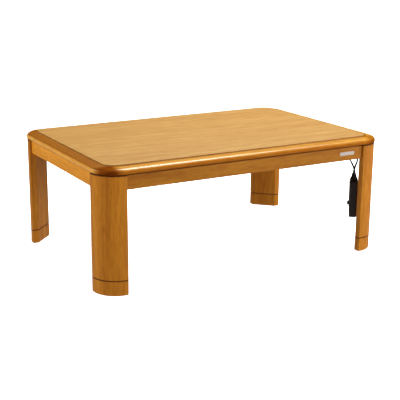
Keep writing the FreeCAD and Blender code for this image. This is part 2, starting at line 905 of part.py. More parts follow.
for side_x, rail_name in ((-1, "left"), (1, "right")):
    rail = doc.getObject(f"{rail_name}_cross_rail")
    for side_y in (-1, 1):
        hole = solid("Cylinder", "RailHole", Radius=mm.screw_diameter / 2,
                     Height=mm.screw_length - mm.sheet_thickness)
        place(hole, screw_x * side_x, mm.heater_screw_offset * side_y, rail_bottom)
        nodes.remove(rail)
        rail.Label = "RailBlank"
        rail = keep(combine("Cut", f"{rail_name}_cross_rail", rail, hole))

heater_screw = make_screw("HeaterScrew")
place(heater_screw, -screw_x, -mm.heater_screw_offset, rail_bottom - mm.sheet_thickness,
      Rotation(Vector(1, 0, 0), 180))
keep(at_four_corners("heater_mounting_screws", heater_screw))


# The bright reflector, folded from one sheet with a round trough over each tube

reflector = new_body("heater_reflector")
trough_axis = mm.pan_height - mm.sheet_thickness - mm.trough_radius
outer, inner = mm.trough_radius, mm.trough_radius - mm.reflector_thickness
edge_x = mm.pan_side / 2 - mm.sheet_thickness
tube_x = mm.tube_offset
under = trough_axis - mm.reflector_thickness
fold = Drawing(reflector, "XZ_Plane")
fold.outline(
    (-edge_x, trough_axis),
    (-tube_x - outer, trough_axis),
    (-tube_x + outer, trough_axis, -tube_x, trough_axis, "right"),
    (tube_x - outer, trough_axis),
    (tube_x + outer, trough_axis, tube_x, trough_axis, "right"),
    (edge_x, trough_axis),
    (edge_x, under),
    (tube_x + inner, under),
    (tube_x + inner, trough_axis),
    (tube_x - inner, trough_axis, tube_x, trough_axis, "left"),
    (tube_x - inner, under),
    (-tube_x + inner, under),
    (-tube_x + inner, trough_axis),
    (-tube_x - inner, trough_axis, -tube_x, trough_axis, "left"),
    (-tube_x - inner, under),
    (-edge_x, under),
)
holder_start = mm.tube_length / 2 - mm.holder_inset - mm.holder_thickness
pad(reflector, fold, (holder_start - mm.holder_gap) * 2, middle=True)
keep(place(reflector, z=rail_bottom))


# The quartz tubes and their ceramic holders, which hang from the pan

tube_level = rail_bottom + trough_axis
along_y = Rotation(Vector(1, 0, 0), -90)
wall = solid("Cylinder", "TubeWall", Radius=mm.tube_diameter / 2, Height=mm.tube_length)
bore = solid("Cylinder", "TubeBore", Radius=mm.tube_diameter / 2 - mm.tube_wall,
             Height=mm.tube_length)
for piece in (wall, bore):
    place(piece, tube_x, -mm.tube_length / 2, tube_level, along_y)
quartz = combine("Cut", "QuartzTube", wall, bore)
keep(with_mirror("heater_quartz_tubes", quartz, Vector(1, 0, 0)))

block = solid("Box", "HolderBlock", Length=mm.holder_width, Width=mm.holder_thickness,
              Height=mm.trough_radius + mm.holder_drop)
place(block, tube_x - mm.holder_width / 2, holder_start, tube_level - mm.holder_drop)
seat = solid("Cylinder", "HolderSeat", Radius=mm.tube_diameter / 2, Height=mm.tube_length / 2)
place(seat, tube_x, NOTHING, tube_level, along_y)
keep(at_four_corners("heater_tube_holders", combine("Cut", "Holder", block, seat)))


# The thermostat and the thermal fuse, under the flat middle of the reflector

thermostat = new_body("heater_thermostat")
add(thermostat, "AdditiveBox", x=-mm.thermostat_plate_length / 2, y=-mm.thermostat_plate_width / 2,
    z=-mm.thermostat_plate, Length=mm.thermostat_plate_length, Width=mm.thermostat_plate_width,
    Height=mm.thermostat_plate)
add(thermostat, "AdditiveCylinder", z=-mm.thermostat_plate - mm.thermostat_height,
    Radius=mm.thermostat_diameter / 2, Height=mm.thermostat_height)
keep(place(thermostat, NOTHING, mm.thermostat_place, rail_bottom + under))

fuse = new_body("heater_thermal_fuse")
fuse_all = mm.fuse_length + mm.fuse_lead_length * 2
add(fuse, "AdditiveCylinder", y=-mm.fuse_length / 2, turn=along_y, Radius=mm.fuse_diameter / 2,
    Height=mm.fuse_length)
add(fuse, "AdditiveCylinder", y=-fuse_all / 2, turn=along_y, Radius=mm.fuse_lead_diameter / 2,
    Height=fuse_all)
keep(place(fuse, NOTHING, -mm.fuse_place, rail_bottom + under - mm.fuse_diameter / 2))


# The wire guard: a ring under the flange, with a basket of welded wires

guard = new_body("heater_guard")
ring_top = -mm.sheet_thickness
ring_bottom = ring_top - mm.guard_ring_thickness
ring_side = flange_side - mm.guard_ring_inset * 2
ring = Drawing(guard, "XY_Plane", ring_bottom)
ring.rounded_rectangle(ring_side, ring_side, mm.flange_corner - mm.guard_ring_inset)
inside = ring_side - mm.guard_ring_width * 2
ring.rounded_rectangle(inside, inside, mm.flange_corner - mm.guard_ring_inset)
pad(guard, ring, mm.guard_ring_thickness)
wire_x = ring_side / 2 - mm.guard_ring_width / 2
wire_top = ring_bottom + mm.guard_weld
wire_radius = mm.guard_wire / 2
wires_each_way = int((inside / 2).value / mm.guard_pitch.value)


def guard_wire(path_plane, offset, level, side_of_bend):
    """One bent wire of the basket, welded to the ring at both ends."""
    spine = Drawing(guard, path_plane, offset)
    corner = mm.guard_bend
    spine.open_path(
        (-wire_x, wire_top),
        (-wire_x, level + corner),
        (-wire_x + corner, level, -wire_x + corner, level + corner, "left"),
        (wire_x - corner, level),
        (wire_x, level + corner, wire_x - corner, level + corner, "left"),
        (wire_x, wire_top),
    )
    section = Drawing(guard, "XY_Plane", wire_top)
    across = offset * side_of_bend
    if path_plane == "XZ_Plane":
        section.circle(-wire_x, across, wire_radius)
    else:
        section.circle(across, -wire_x, wire_radius)
    wire = guard.newObject("PartDesign::AdditivePipe", "Wire")
    wire.Profile = section.sketch
    wire.Spine = spine.sketch
    doc.recompute()
    return wire


first_wire = guard_wire("XZ_Plane", mm.guard_pitch * wires_each_way, -mm.guard_drop, -1)
row = guard.newObject("PartDesign::LinearPattern", "Row")
row.Originals = [first_wire]
row.Direction = (origin_plane(guard, "Y_Axis"), [""])
row.Occurrences = wires_each_way * 2 + 1
bind(row, Length=mm.guard_pitch * wires_each_way * 2)
guard.Tip = row
doc.recompute()
bar_level = -mm.guard_drop + mm.guard_wire - mm.guard_weld
first_bar = guard_wire("YZ_Plane", -mm.guard_bar_offset, bar_level, 1)
bars = guard.newObject("PartDesign::Mirrored", "Bars")
bars.Originals = [first_bar]
bars.MirrorPlane = (origin_plane(guard, "YZ_Plane"), [""])
guard.Tip = bars
doc.recompute()
keep(place(guard, z=rail_bottom))


# The terminal cover under the right rail, with the socket for the lead's connector

terminal_x = flange_side / 2 + mm.terminal_gap
socket_level = -mm.terminal_height / 2
terminal = new_body("heater_terminal_cover")
add(terminal, "AdditiveBox", y=-mm.terminal_width / 2, z=-mm.terminal_height,
    Length=mm.terminal_length, Width=mm.terminal_width, Height=mm.terminal_height)
ease(terminal, "Fillet", mm.terminal_round, lambda edge, middle: stands_up(edge))
add(terminal, "SubtractiveBox", x=mm.terminal_length - mm.socket_depth, y=-mm.socket_width / 2,
    z=socket_level - mm.socket_height / 2, Length=mm.socket_depth * 2, Width=mm.socket_width,
    Height=mm.socket_height)
keep(place(terminal, terminal_x, mm.terminal_place, rail_bottom))

along_x = Rotation(Vector(0, 1, 0), 90)
pin_x = terminal_x + mm.terminal_length - mm.socket_depth
pin_y = mm.inlet_pin_spacing / 2
pin = make_rod("InletPin", mm.inlet_pin_diameter / 2, mm.inlet_pin_length, mm.bolt_bevel)
place(pin, pin_x, mm.terminal_place + pin_y, rail_bottom + socket_level, along_x)
keep(with_mirror("heater_inlet_pins", pin, Vector(0, 1, 0),
                 (NOTHING, mm.terminal_place, NOTHING)))

connector = new_body("lead_connector")
nose = mm.socket_depth - mm.socket_clearance
nose_width = mm.socket_width - mm.socket_clearance * 2
nose_height = mm.socket_height - mm.socket_clearance * 2
add(connector, "AdditiveBox", y=-mm.connector_width / 2, z=-mm.connector_height / 2,
    Length=mm.connector_length, Width=mm.connector_width, Height=mm.connector_height)
ease(connector, "Fillet", mm.connector_round,
     lambda edge, middle: not close_to(middle.x, NOTHING))
add(connector, "AdditiveBox", x=-nose, y=-nose_width / 2, z=-nose_height / 2, Length=nose,
    Width=nose_width, Height=nose_height)
add(connector, "AdditiveCone", x=mm.connector_length, turn=along_x,
    Radius1=mm.relief_diameter / 2, Radius2=mm.relief_end_diameter / 2, Height=mm.relief_length)
for side in (-1, 1):
    add(connector, "SubtractiveCylinder", x=-nose, y=pin_y * side, turn=along_x,
        Radius=mm.inlet_pin_diameter / 2, Height=mm.inlet_pin_length)
connector_x = terminal_x + mm.terminal_length
keep(place(connector, connector_x, mm.terminal_place, rail_bottom + socket_level))


# The cord clips: a plastic saddle round the cord, nailed to the wood

clip = new_body("Clip")
saddle = mm.cord_diameter / 2 + mm.clip_clearance + mm.clip_wall
add(clip, "AdditiveCylinder", x=-mm.clip_width / 2, turn=along_x, Radius=saddle,
    Height=mm.clip_width)
add(clip, "AdditiveBox", x=-mm.clip_width / 2, y=-mm.clip_stand, z=-saddle, Length=mm.clip_width,
    Width=mm.clip_foot, Height=mm.clip_foot_length)
add(clip, "AdditiveCylinder", y=mm.clip_foot - mm.clip_stand, z=mm.clip_nail_place, turn=along_y,
    Radius=mm.clip_nail_diameter / 2, Height=mm.clip_nail_height)
add(clip, "SubtractiveCylinder", x=-mm.clip_width, turn=along_x,
    Radius=mm.cord_diameter / 2 + mm.clip_clearance, Height=mm.clip_width * 2)

front_clip_shares = (0.08, 0.4)
side_clip_shares = (-0.34, -0.1)
leg_clip_shares = (0.35, 0.67)
clip_level = frame_bottom + mm.clip_height
front_line = -apron_out_y + mm.apron_thickness + mm.clip_stand
right_line = apron_out_x - mm.apron_thickness - mm.clip_stand
leg_line = (leg_flat + mm.clip_stand) / ROOT_TWO
clips = []


def put_clip(x, y, z, turn):
    copy = doc.addObject("App::Link", "CordClip")
    copy.LinkedObject = clip
    clips.append(place(copy, x, y, z, turn))


rail_outside = mm.heater_opening / 2 + mm.rail_width
front_clip_places = [apron_x * share for share in front_clip_shares]
for spot in front_clip_places + [rail_outside + mm.clip_from_rail]:
    put_clip(-spot, front_line, clip_level, Rotation())
    put_clip(spot, front_line, clip_level, Rotation())
for share in side_clip_shares:
    put_clip(right_line, apron_y * share, clip_level, upright(90))
for share in leg_clip_shares:
    put_clip(leg_line - leg_x, leg_line - leg_y, frame_top * share, upright(-45) * along_x)
keep(group("cord_clips", clips))


# The hand controller: two plastic shells that hang on the cords

def on_controller(item, x=NOTHING, y=NOTHING, z=NOTHING, tilt=None):
    """Puts an item at a place in the controller's own frame: x out of its face, z up."""
    turn = upright(mm.controller_turn.value)
    spot = turn.multVec(Vector(size_of(x).value, size_of(y).value, size_of(z).value))
    corner = Vector(mm.controller_x.value, -mm.controller_y.value, mm.controller_z.value)
    item.Placement = Placement(corner + spot, turn * (tilt or Rotation()))
    return item


def case_outline(drawing, inset):
    drawing.rounded_rectangle(
        mm.controller_width - inset * 2, mm.controller_height - inset * 2,
        mm.controller_corner - inset, y=mm.controller_height / 2)


def make_case(label, front):
    """Half of the case: a shell with two screw bosses, and on the front a raised face."""
    body = new_body(label)
    out = 1 if front else -1
    shell = Drawing(body, "YZ_Plane")
    case_outline(shell, NOTHING)
    pad(body, shell, mm.controller_half, backwards=not front)
    outer_rim = lambda edge, middle: close_to(middle.x, mm.controller_half * out)
    ease(body, "Fillet", mm.controller_round, outer_rim)
    inside = Drawing(body, "YZ_Plane")
    case_outline(inside, mm.controller_wall)
    pocket(body, inside, mm.controller_half - mm.controller_wall, backwards=front)
    bosses = Drawing(body, "YZ_Plane")
    for level in (mm.boss_inset, mm.controller_height - mm.boss_inset):
        bosses.circle(NOTHING, level, mm.boss_diameter / 2)
    pad(body, bosses, mm.controller_half - mm.controller_wall / 2, backwards=not front)
    return body


def make_screw_hole(body, level):
    add(body, "SubtractiveCylinder", x=mm.case_head_height - mm.controller_half, z=level,
        turn=along_x, Radius=mm.case_screw_diameter / 2, Height=mm.case_screw_length)


face_x = mm.controller_half + mm.face_rise
face_middle = mm.controller_height - mm.face_top - mm.face_height / 2
slot_bottom = mm.controller_height - mm.face_top - mm.face_height + mm.slot_lift
lamp_level = mm.controller_height - mm.face_top - mm.lamp_inset
screw_levels = (mm.boss_inset, mm.controller_height - mm.boss_inset)
front_cover = make_case("controller_front_cover", True)
raised = Drawing(front_cover, "YZ_Plane", mm.controller_half)
raised.rounded_rectangle(mm.face_width, mm.face_height, mm.face_corner, y=face_middle)
pad(front_cover, raised, mm.face_rise)
slot = dict(x=mm.controller_half / 2, Length=mm.controller_half)
add(front_cover, "SubtractiveBox", y=-mm.slot_width / 2, z=slot_bottom, Width=mm.slot_width,
    Height=mm.slot_length, **slot)
add(front_cover, "SubtractiveCylinder", x=mm.controller_half / 2, z=lamp_level, turn=along_x,
    Radius=mm.lamp_diameter / 2, Height=mm.controller_half)
for level in screw_levels:
    make_screw_hole(front_cover, level)
keep(on_controller(front_cover))

back_cover = make_case("controller_back_cover", False)
for level in screw_levels:
    make_screw_hole(back_cover, level)
    add(back_cover, "SubtractiveCylinder", x=-mm.controller_half * 2, z=level, turn=along_x,
        Radius=mm.case_head_diameter / 2, Height=mm.controller_half + mm.case_head_height)
keep(on_controller(back_cover))

case_screws = []
for level in screw_levels:
    shank = solid("Cylinder", "CaseShank", Radius=mm.case_screw_diameter / 2,
                  Height=mm.case_screw_length)
    head = solid("Cylinder", "CaseHead", Radius=mm.case_head_diameter / 2,
                 Height=mm.case_head_height)
    on_controller(shank, mm.case_head_height - mm.controller_half, NOTHING, level, along_x)
    on_controller(head, -mm.controller_half, NOTHING, level, along_x)
    case_screws.append(combine("Fuse", "CaseScrew", shank, head))
keep(group("controller_screws", case_screws))


# The temperature knob slides in the slot of the raised face, over a slide switch

knob = new_body("controller_knob")
knob_level = slot_bottom + mm.knob_gap - (mm.knob_height - mm.knob_stem_height) / 2
add(knob, "AdditiveBox", x=face_x + mm.knob_gap, y=-mm.knob_width / 2,
    z=knob_level, Length=mm.knob_rise,
    Width=mm.knob_width, Height=mm.knob_height)
cap_edges = lambda edge, middle: not close_to(middle.x, face_x + mm.knob_gap)
ease(knob, "Fillet", mm.knob_round, cap_edges)
stem_x = face_x + mm.knob_gap - mm.knob_stem_length
add(knob, "AdditiveBox", x=stem_x, y=-mm.knob_stem_width / 2, z=slot_bottom + mm.knob_gap,
    Length=mm.knob_stem_length, Width=mm.knob_stem_width, Height=mm.knob_stem_height)
keep(on_controller(knob))

switch_x = mm.controller_wall - mm.controller_half
switch = solid("Box", "controller_slide_switch", Length=stem_x - mm.knob_gap - switch_x,
               Width=mm.switch_width, Height=mm.switch_height)
switch_level = slot_bottom + mm.slot_length / 2 - mm.switch_height / 2
keep(on_controller(switch, switch_x, -mm.switch_width / 2, switch_level))

lamp = new_body("controller_lamp")
lamp_back = mm.controller_half - mm.controller_wall
lamp_length = face_x - lamp_back + mm.lamp_rise
add(lamp, "AdditiveCylinder", x=lamp_back, z=lamp_level, turn=along_x,
    Radius=mm.lamp_diameter / 2, Height=lamp_length)
ease(lamp, "Fillet", mm.lamp_rise, lambda edge, middle: close_to(middle.x, lamp_back + lamp_length))
keep(on_controller(lamp))

bushings = []
bushing_foot = mm.controller_height + mm.bushing_collar / 2
for side in (-1, 1):
    collar = solid("Cylinder", "Collar", Radius=mm.bushing_collar_diameter / 2,
                   Height=mm.bushing_collar)
    sleeve = solid("Cone", "Sleeve", Radius1=mm.relief_diameter / 2,
                   Radius2=mm.relief_end_diameter / 2, Height=mm.bushing_length)
    spot = (mm.bushing_x * side, -mm.bushing_y * side)
    on_controller(collar, *spot, mm.controller_height)
    tilt = Rotation(Vector(0, 1, 0), -mm.bushing_tilt.value * side)
    on_controller(sleeve, *spot, bushing_foot, tilt)
    bushings.append(combine("Fuse", "Bushing", collar, sleeve))
keep(group("controller_bushings", bushings))


# The cords: tubes on straight runs that are joined by tangent arcs

corner_share = 0.45


def round_corners(points):
    """The lines and arcs of a cord's route, and the radius of each arc."""
    edges, radii = [], []
    here = points[0]
    for before, corner, after in zip(points, points[1:], points[2:]):
        back, ahead = before - corner, after - corner
        half_turn = (math.pi - back.getAngle(ahead)) / 2
        reach = corner_share * min(back.Length, ahead.Length)
        radius = reach / math.tan(half_turn)
        radii.append(radius)
        start = corner + back.normalize() * reach
        stop = corner + ahead.normalize() * reach
        to_middle = (back + ahead).normalize()
        middle = corner + to_middle * (radius / math.cos(half_turn) - radius)
        edges.append(Part.LineSegment(here, start).toShape())
        edges.append(Part.Arc(start, middle, stop).toShape())
        here = stop
    edges.append(Part.LineSegment(here, points[-1]).toShape())
    return edges, radii


def sweep_cord(edges, label):
    """A round tube of the cord's diameter along joined edges."""
    path = Part.Wire(edges)
    first = edges[0]
    start = first.firstVertex().Point
    direction = first.tangentAt(first.FirstParameter)
    circle = Part.Wire(Part.makeCircle(mm.cord_diameter.value / 2, start, direction))
    shell = Part.BRepOffsetAPI.MakePipeShell(path)
    shell.add(circle)
    shell.build()
    shell.makeSolid()
    tube = shell.shape()
    ideal = math.pi * mm.cord_diameter.value ** 2 / 4 * path.Length
    print(f"{label}: {path.Length:.0f} mm long, volume {tube.Volume / ideal:.4f} of its section's")
    return tube


def make_cord(label, routes):
    tubes = []
    for route in routes:
        edges, radii = round_corners([Vector(*point) for point in route])
        print(f"{label}: radii", " ".join(f"{radius:.0f}" for radius in radii))
        tubes.append(sweep_cord(edges, label))
    cord = doc.addObject("Part::Feature", label)
    cord.Label = label
    cord.Shape = tubes[0] if len(tubes) == 1 else Part.makeCompound(tubes)
    keep(cord)


HEATER_LEAD = [
    (480.92, -247.43, 253.39),
    (483.6, -249.4, 278.6),
    (486.3, -248.4, 302.0),
    (487.2, -240.5, 322.0),
    (487.5, -225.5, 334.5),
    (488.8, -203.0, 339.0),
    (489.0, -160.0, 339.0),
    (487.5, -122.0, 333.5),
    (489.0, -84.0, 339.0),
    (489.0, -28.0, 339.0),
    (484.0, 4.0, 336.5),
    (463.0, 28.0, 330.5),
    (428.0, 38.0, 321.0),
    (388.0, 37.0, 312.5),
    (344.0, 32.0, 309.0),
    (300.0, 25.0, 316.0),
    (266.0, 20.0, 332.0),
    (241.0, 20.0, 332.0),
]
make_cord("heater_lead", [HEATER_LEAD])

MAINS_LEAD = [
    (473.08, -266.57, 253.39),
    (470.3, -264.5, 279.6),
    (458.0, -274.0, 302.0),
    (431.0, -296.0, 321.0),
    (390.0, -312.0, 336.0),
    (362.0, -314.0, 339.0),
    (320.0, -314.0, 339.0),
    (280.0, -312.5, 333.5),
    (240.0, -314.0, 339.0),
    (180.0, -314.0, 339.0),
    (140.0, -312.5, 333.5),
    (100.0, -314.0, 339.0),
    (40.0, -314.0, 339.0),
    (0.0, -312.5, 334.0),
    (-40.0, -314.0, 339.0),
    (-100.0, -314.0, 339.0),
    (-140.0, -312.5, 333.5),
    (-180.0, -314.0, 339.0),
    (-240.0, -314.0, 339.0),
    (-280.0, -312.5, 334.0),
    (-320.0, -314.0, 339.0),
    (-380.0, -314.0, 339.0),
    (-411.0, -306.0, 329.5),
    (-438.0, -298.0, 310.0),
    (-454.5, -292.8, 293.0),
    (-465.26, -290.26, 272.0),
    (-465.26, -290.26, 225.0),
    (-462.3, -287.3, 190.0),
    (-465.26, -290.26, 155.0),
    (-465.26, -290.26, 105.0),
    (-463.7, -288.7, 70.0),
    (-461.0, -285.8, 43.0),
    (-454.8, -279.0, 19.5),
    (-441.0, -265.6, 5.6),
    (-418.28, -246.96, 4.55),
]
TAIL = [
    (-399.9, -221.57, 11.65),
    (-390.0, -197.5, 9.8),
    (-383.0, -173.5, 7.2),
    (-376.0, -149.0, 7.8),
]


# The coil: two layers of turns, spiralling in and then out, on biarcs of a quarter turn

turns_in = 2.0
turns_end = 4 + 26 / 360
turns_of_reversal = 0.25
coil_start_angle = math.radians(-48)


def coil_point(turn):
    """The coil's centre line after so many turns, from its first point."""
    inward = turn if turn < turns_in else 2 * turns_in - turn
    climb = (turn - turns_in + turns_of_reversal) / (2 * turns_of_reversal)
    climb = min(max(climb, 0.0), 1.0)
    rise = climb * climb * (3 - 2 * climb)
    radius = mm.coil_radius.value - mm.coil_step.value * ease_peak(inward)
    angle = coil_start_angle + 2 * math.pi * turn
    level = mm.cord_diameter.value / 2 + mm.coil_lift.value + mm.coil_layer.value * rise
    return Vector(mm.coil_x.value + radius * math.cos(angle),
                  mm.coil_y.value + radius * math.sin(angle), level)


def ease_peak(inward):
    """Rounds off the reversal of the spiral over the last part of a turn before it."""
    past = max(inward - (turns_in - turns_of_reversal), 0.0)
    return inward - past * past / (2 * turns_of_reversal)


tangent_step = 1e-4


def coil_tangent(turn):
    way = coil_point(turn + tangent_step) - coil_point(turn - tangent_step)
    return way.normalize()


def biarc(start, start_way, stop, stop_way):
    """Two arcs that leave and arrive along the given directions."""
    chord = stop - start
    ways = start_way + stop_way
    a = 2 * (1 - start_way.dot(stop_way))
    b = 2 * chord.dot(ways)
    reach = (-b + math.sqrt(b * b + 4 * a * chord.dot(chord))) / (2 * a)
    near, far = start + start_way * reach, stop - stop_way * reach
    joint = (near + far) * 0.5
    return [arc_through(start, near, joint), arc_through(joint, far, stop)]


def arc_through(start, corner, stop):
    back, ahead = (start - corner).normalize(), (stop - corner).normalize()
    half_turn = (math.pi - back.getAngle(ahead)) / 2
    radius = (start - corner).Length / math.tan(half_turn)
    middle = corner + (back + ahead).normalize() * (radius / math.cos(half_turn) - radius)
    return Part.Arc(start, middle, stop).toShape()


station_count = 18
stations = [turns_end * k / (station_count - 1) for k in range(station_count)]
coil_edges = []
entry = coil_point(0) - coil_tangent(0) * mm.cord_diameter.value
coil_edges.append(Part.LineSegment(entry, coil_point(0)).toShape())
for one, two in zip(stations, stations[1:]):
    coil_edges += biarc(coil_point(one), coil_tangent(one), coil_point(two), coil_tangent(two))
leaving = coil_point(turns_end) + coil_tangent(turns_end) * mm.cord_diameter.value
coil_edges.append(Part.LineSegment(coil_point(turns_end), leaving).toShape())
print("coil from", entry, "to", leaving)
coil = doc.addObject("Part::Feature", "mains_lead_coil")
coil.Label = "mains_lead_coil"
coil.Shape = sweep_cord(coil_edges, "mains_lead_coil")
keep(coil)
make_cord("mains_lead", [MAINS_LEAD, TAIL])

# The coil's least gap to itself, on points along its centre line

points_on_edge = 9
diameters_apart = 4
samples = []
for edge in coil_edges:
    samples += edge.discretize(points_on_edge)[:-1]
spacing = [0.0]
for one, two in zip(samples, samples[1:]):
    spacing.append(spacing[-1] + one.distanceToPoint(two))
least = min(
    samples[i].distanceToPoint(samples[j])
    for i in range(len(samples)) for j in range(i)
    if spacing[i] - spacing[j] > mm.cord_diameter.value * diameters_apart
)
print(f"mains_lead_coil: least gap to itself {least - mm.cord_diameter.value:.2f} mm")


# The tie round the coil's turns, a flat strap closed into a loop

tie_inner = mm.coil_radius - mm.coil_step * 2 - mm.cord_diameter / 2 - mm.tie_clearance
tie_outer = mm.coil_radius + mm.cord_diameter / 2 + mm.tie_clearance
tie_low = mm.coil_lift - mm.tie_clearance
tie_high = mm.coil_lift + mm.coil_layer + mm.cord_diameter + mm.tie_clearance
around = solid("Box", "TieOutside", Length=tie_outer - tie_inner + mm.tie_thickness * 2,
               Width=mm.tie_width, Height=tie_high - tie_low + mm.tie_thickness * 2)
opening = solid("Box", "TieInside", Length=tie_outer - tie_inner, Width=mm.tie_width * 2,
                Height=tie_high - tie_low)
place(around, mm.coil_x - tie_outer - mm.tie_thickness, mm.coil_y - mm.tie_width / 2,
      tie_low - mm.tie_thickness)
place(opening, mm.coil_x - tie_outer, mm.coil_y - mm.tie_width, tie_low)
keep(combine("Cut", "coil_tie", around, opening))


# The two-pin wall plug, lying on the floor behind the coil

def on_plug(item):
    """x runs from the cord's entry towards the blades."""
    level = mm.plug_height / 2 + mm.floor_gap
    return place(item, mm.plug_x, mm.plug_y, level, upright(mm.plug_turn.value))


plug = new_body("plug_body")
add(plug, "AdditiveBox", x=mm.plug_relief, y=-mm.plug_width / 2, z=-mm.plug_height / 2,
    Length=mm.plug_length, Width=mm.plug_width, Height=mm.plug_height)
ease(plug, "Fillet", mm.plug_round, lambda edge, middle: True)
add(plug, "AdditiveCone", turn=along_x, Radius1=mm.relief_end_diameter / 2,
    Radius2=mm.relief_diameter / 2, Height=mm.plug_relief + mm.plug_round)
keep(on_plug(plug))

blades = []
for side in (-1, 1):
    blade = new_body("Blade")
    add(blade, "AdditiveBox", x=mm.plug_relief + mm.plug_length,
        y=mm.blade_spacing / 2 * side - mm.blade_thickness / 2, z=-mm.blade_width / 2,
        Length=mm.blade_length, Width=mm.blade_thickness, Height=mm.blade_width)
    blades.append(on_plug(blade))
keep(group("plug_blades", blades))


# Every object is checked before any file is written

doc.recompute()
for item in doc.Objects:
    if "Invalid" in item.State or "Error" in item.State:
        raise RuntimeError(f"{item.Label}: {item.State}")
for item in nodes:
    if item.Shape.isNull() or not item.Shape.isValid() or not item.Shape.Solids:
        raise RuntimeError(f"{item.Label}: no valid solid")
for item in nodes:
    item.Shape.exportStep(f"parts/{item.Label}.step")
print(len(nodes), "pieces written")
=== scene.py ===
import math

import bpy
from mathutils import Matrix, Vector


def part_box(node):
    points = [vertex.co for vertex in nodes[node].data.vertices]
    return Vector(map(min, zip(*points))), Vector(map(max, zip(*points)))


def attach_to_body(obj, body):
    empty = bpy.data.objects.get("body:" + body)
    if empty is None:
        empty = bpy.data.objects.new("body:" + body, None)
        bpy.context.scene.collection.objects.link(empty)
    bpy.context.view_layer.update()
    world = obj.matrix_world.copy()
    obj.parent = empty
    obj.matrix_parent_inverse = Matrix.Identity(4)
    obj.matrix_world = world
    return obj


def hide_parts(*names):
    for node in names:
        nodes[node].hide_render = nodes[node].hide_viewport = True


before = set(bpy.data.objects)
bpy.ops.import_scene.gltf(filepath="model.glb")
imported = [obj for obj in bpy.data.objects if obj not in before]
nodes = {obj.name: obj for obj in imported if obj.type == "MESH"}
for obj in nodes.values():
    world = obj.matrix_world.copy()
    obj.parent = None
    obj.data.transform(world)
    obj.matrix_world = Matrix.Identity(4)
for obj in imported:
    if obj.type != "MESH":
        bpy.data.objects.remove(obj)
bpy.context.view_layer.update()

bpy.ops.object.select_all(action="DESELECT")


# The camera: a long lens at standing height, in front of the table's left corner
# and a little above it. It was fitted to the legs, the rim and the top's edges.
lens_mm = 84.609
yaw, pitch, roll = math.radians(27.91), math.radians(15.23), math.radians(-0.02)
bpy.ops.object.camera_add(location=(-1.5747, -2.7693, 1.0473))
camera = bpy.context.object
turn = (
    Matrix.Rotation(-yaw, 4, "Z")
    @ Matrix.Rotation(math.radians(90) - pitch, 4, "X")
    @ Matrix.Rotation(roll, 4, "Z")
)
camera.rotation_euler = turn.to_euler()
camera.data.sensor_width = 36
camera.data.lens = lens_mm
camera.data.shift_x, camera.data.shift_y = 0.0712, -0.0164
bpy.context.scene.camera = camera


# A shader is written as sums. Wire stands for one output of a node, and Finish is
# a material that makes nodes from a type, its settings and its sockets' values.
class Wire:
    def __init__(self, finish, socket):
        self.finish = finish
        self.socket = socket

    def sum(self, operation, *terms):
        return self.finish.node("ShaderNodeMath", {"operation": operation}, *terms)

    def __add__(self, other):
        return self.sum("ADD", self, other)

    def __sub__(self, other):
        return self.sum("SUBTRACT", self, other)

    def __rsub__(self, other):
        return self.sum("SUBTRACT", other, self)

    def __mul__(self, other):
        return self.sum("MULTIPLY", self, other)

    __radd__ = __add__
    __rmul__ = __mul__


class Finish:
    def __init__(self, name, **gloss):
        self.material = bpy.data.materials.new(name)
        self.material.use_nodes = True
        self.tree = self.material.node_tree
        self.shader = self.tree.nodes["Principled BSDF"]
        for socket, value in gloss.items():
            self.shader.inputs[socket.replace("_", " ")].default_value = value

    def plug(self, socket, value):
        if isinstance(value, Wire):
            self.tree.links.new(value.socket, socket)
        else:
            socket.default_value = value

    def node(self, kind, settings=None, *values, out=0, numbered=None, **named):
        made = self.tree.nodes.new(kind)
        for name, value in (settings or {}).items():
            setattr(made, name, value)
        for number, value in (numbered or dict(enumerate(values))).items():
            self.plug(made.inputs[number], value)
        for name, value in named.items():
            self.plug(made.inputs[name.replace("_", " ")], value)
        return Wire(self, made.outputs[out])

    def paint(self, **sockets):
        for name, value in sockets.items():
            self.plug(self.shader.inputs[name.replace("_", " ")], value)
        return self.material

    def place(self, scale=(1, 1, 1), turn=(0, 0, 0)):
        """Object coordinates, turned and then stretched."""
        here = self.node("ShaderNodeTexCoord", out=3)
        turned = self.node("ShaderNodeMapping", {}, here, Rotation=turn)
        return self.node("ShaderNodeVectorMath", {"operation": "MULTIPLY"}, turned, scale)

    def noise(self, vector, scale, detail=2.0, roughness=0.5):
        return self.node("ShaderNodeTexNoise", {}, Vector=vector, Scale=scale, Detail=detail,
                         Roughness=roughness)

    def range(self, value, start, end, top=1.0):
        """A mask that is 0 at start and top at end."""
        return self.node("ShaderNodeMapRange", {}, value, start, end, 0.0, top)

    def mix(self, factor, one, two, kind="MIX"):
        """A mix of two colours, whose sockets on the node are the sixth and seventh."""
        return self.node("ShaderNodeMix", {"data_type": "RGBA", "blend_type": kind}, out=2,
                         numbered={0: factor, 6: one, 7: two})

    def bump(self, height, strength, distance):
        return self.node("ShaderNodeBump", {}, Height=height, Strength=strength, Distance=distance)


def colour(red, green, blue):
    """A colour as a picture shows it, from 0 to 255, for a shader's linear scale."""
    return tuple(
        part / 255 / 12.92 if part <= 10.3 else ((part / 255 + 0.055) / 1.055) ** 2.4
        for part in (red, green, blue)
    ) + (1.0,)


# The cords: black rubber-covered mains cord of 6.5 mm. One runs from the heater's
# connector to the hand controller, the other from there to the wall plug.
cord_diameter = 0.0065

jacket = Finish("cord_rubber", Roughness=0.55)
jacket_grain = jacket.noise(jacket.place(), 900.0, 3.0)
jacket_wear = jacket.noise(jacket.place(), 14.0, 2.0)
cord_rubber = jacket.paint(
    Base_Color=jacket.mix(jacket_wear, colour(28, 24, 22), colour(44, 38, 34)),
    Roughness=jacket_wear * 0.2 + 0.42,
    Normal=jacket.bump(jacket_grain, 0.15, 0.0003),
)


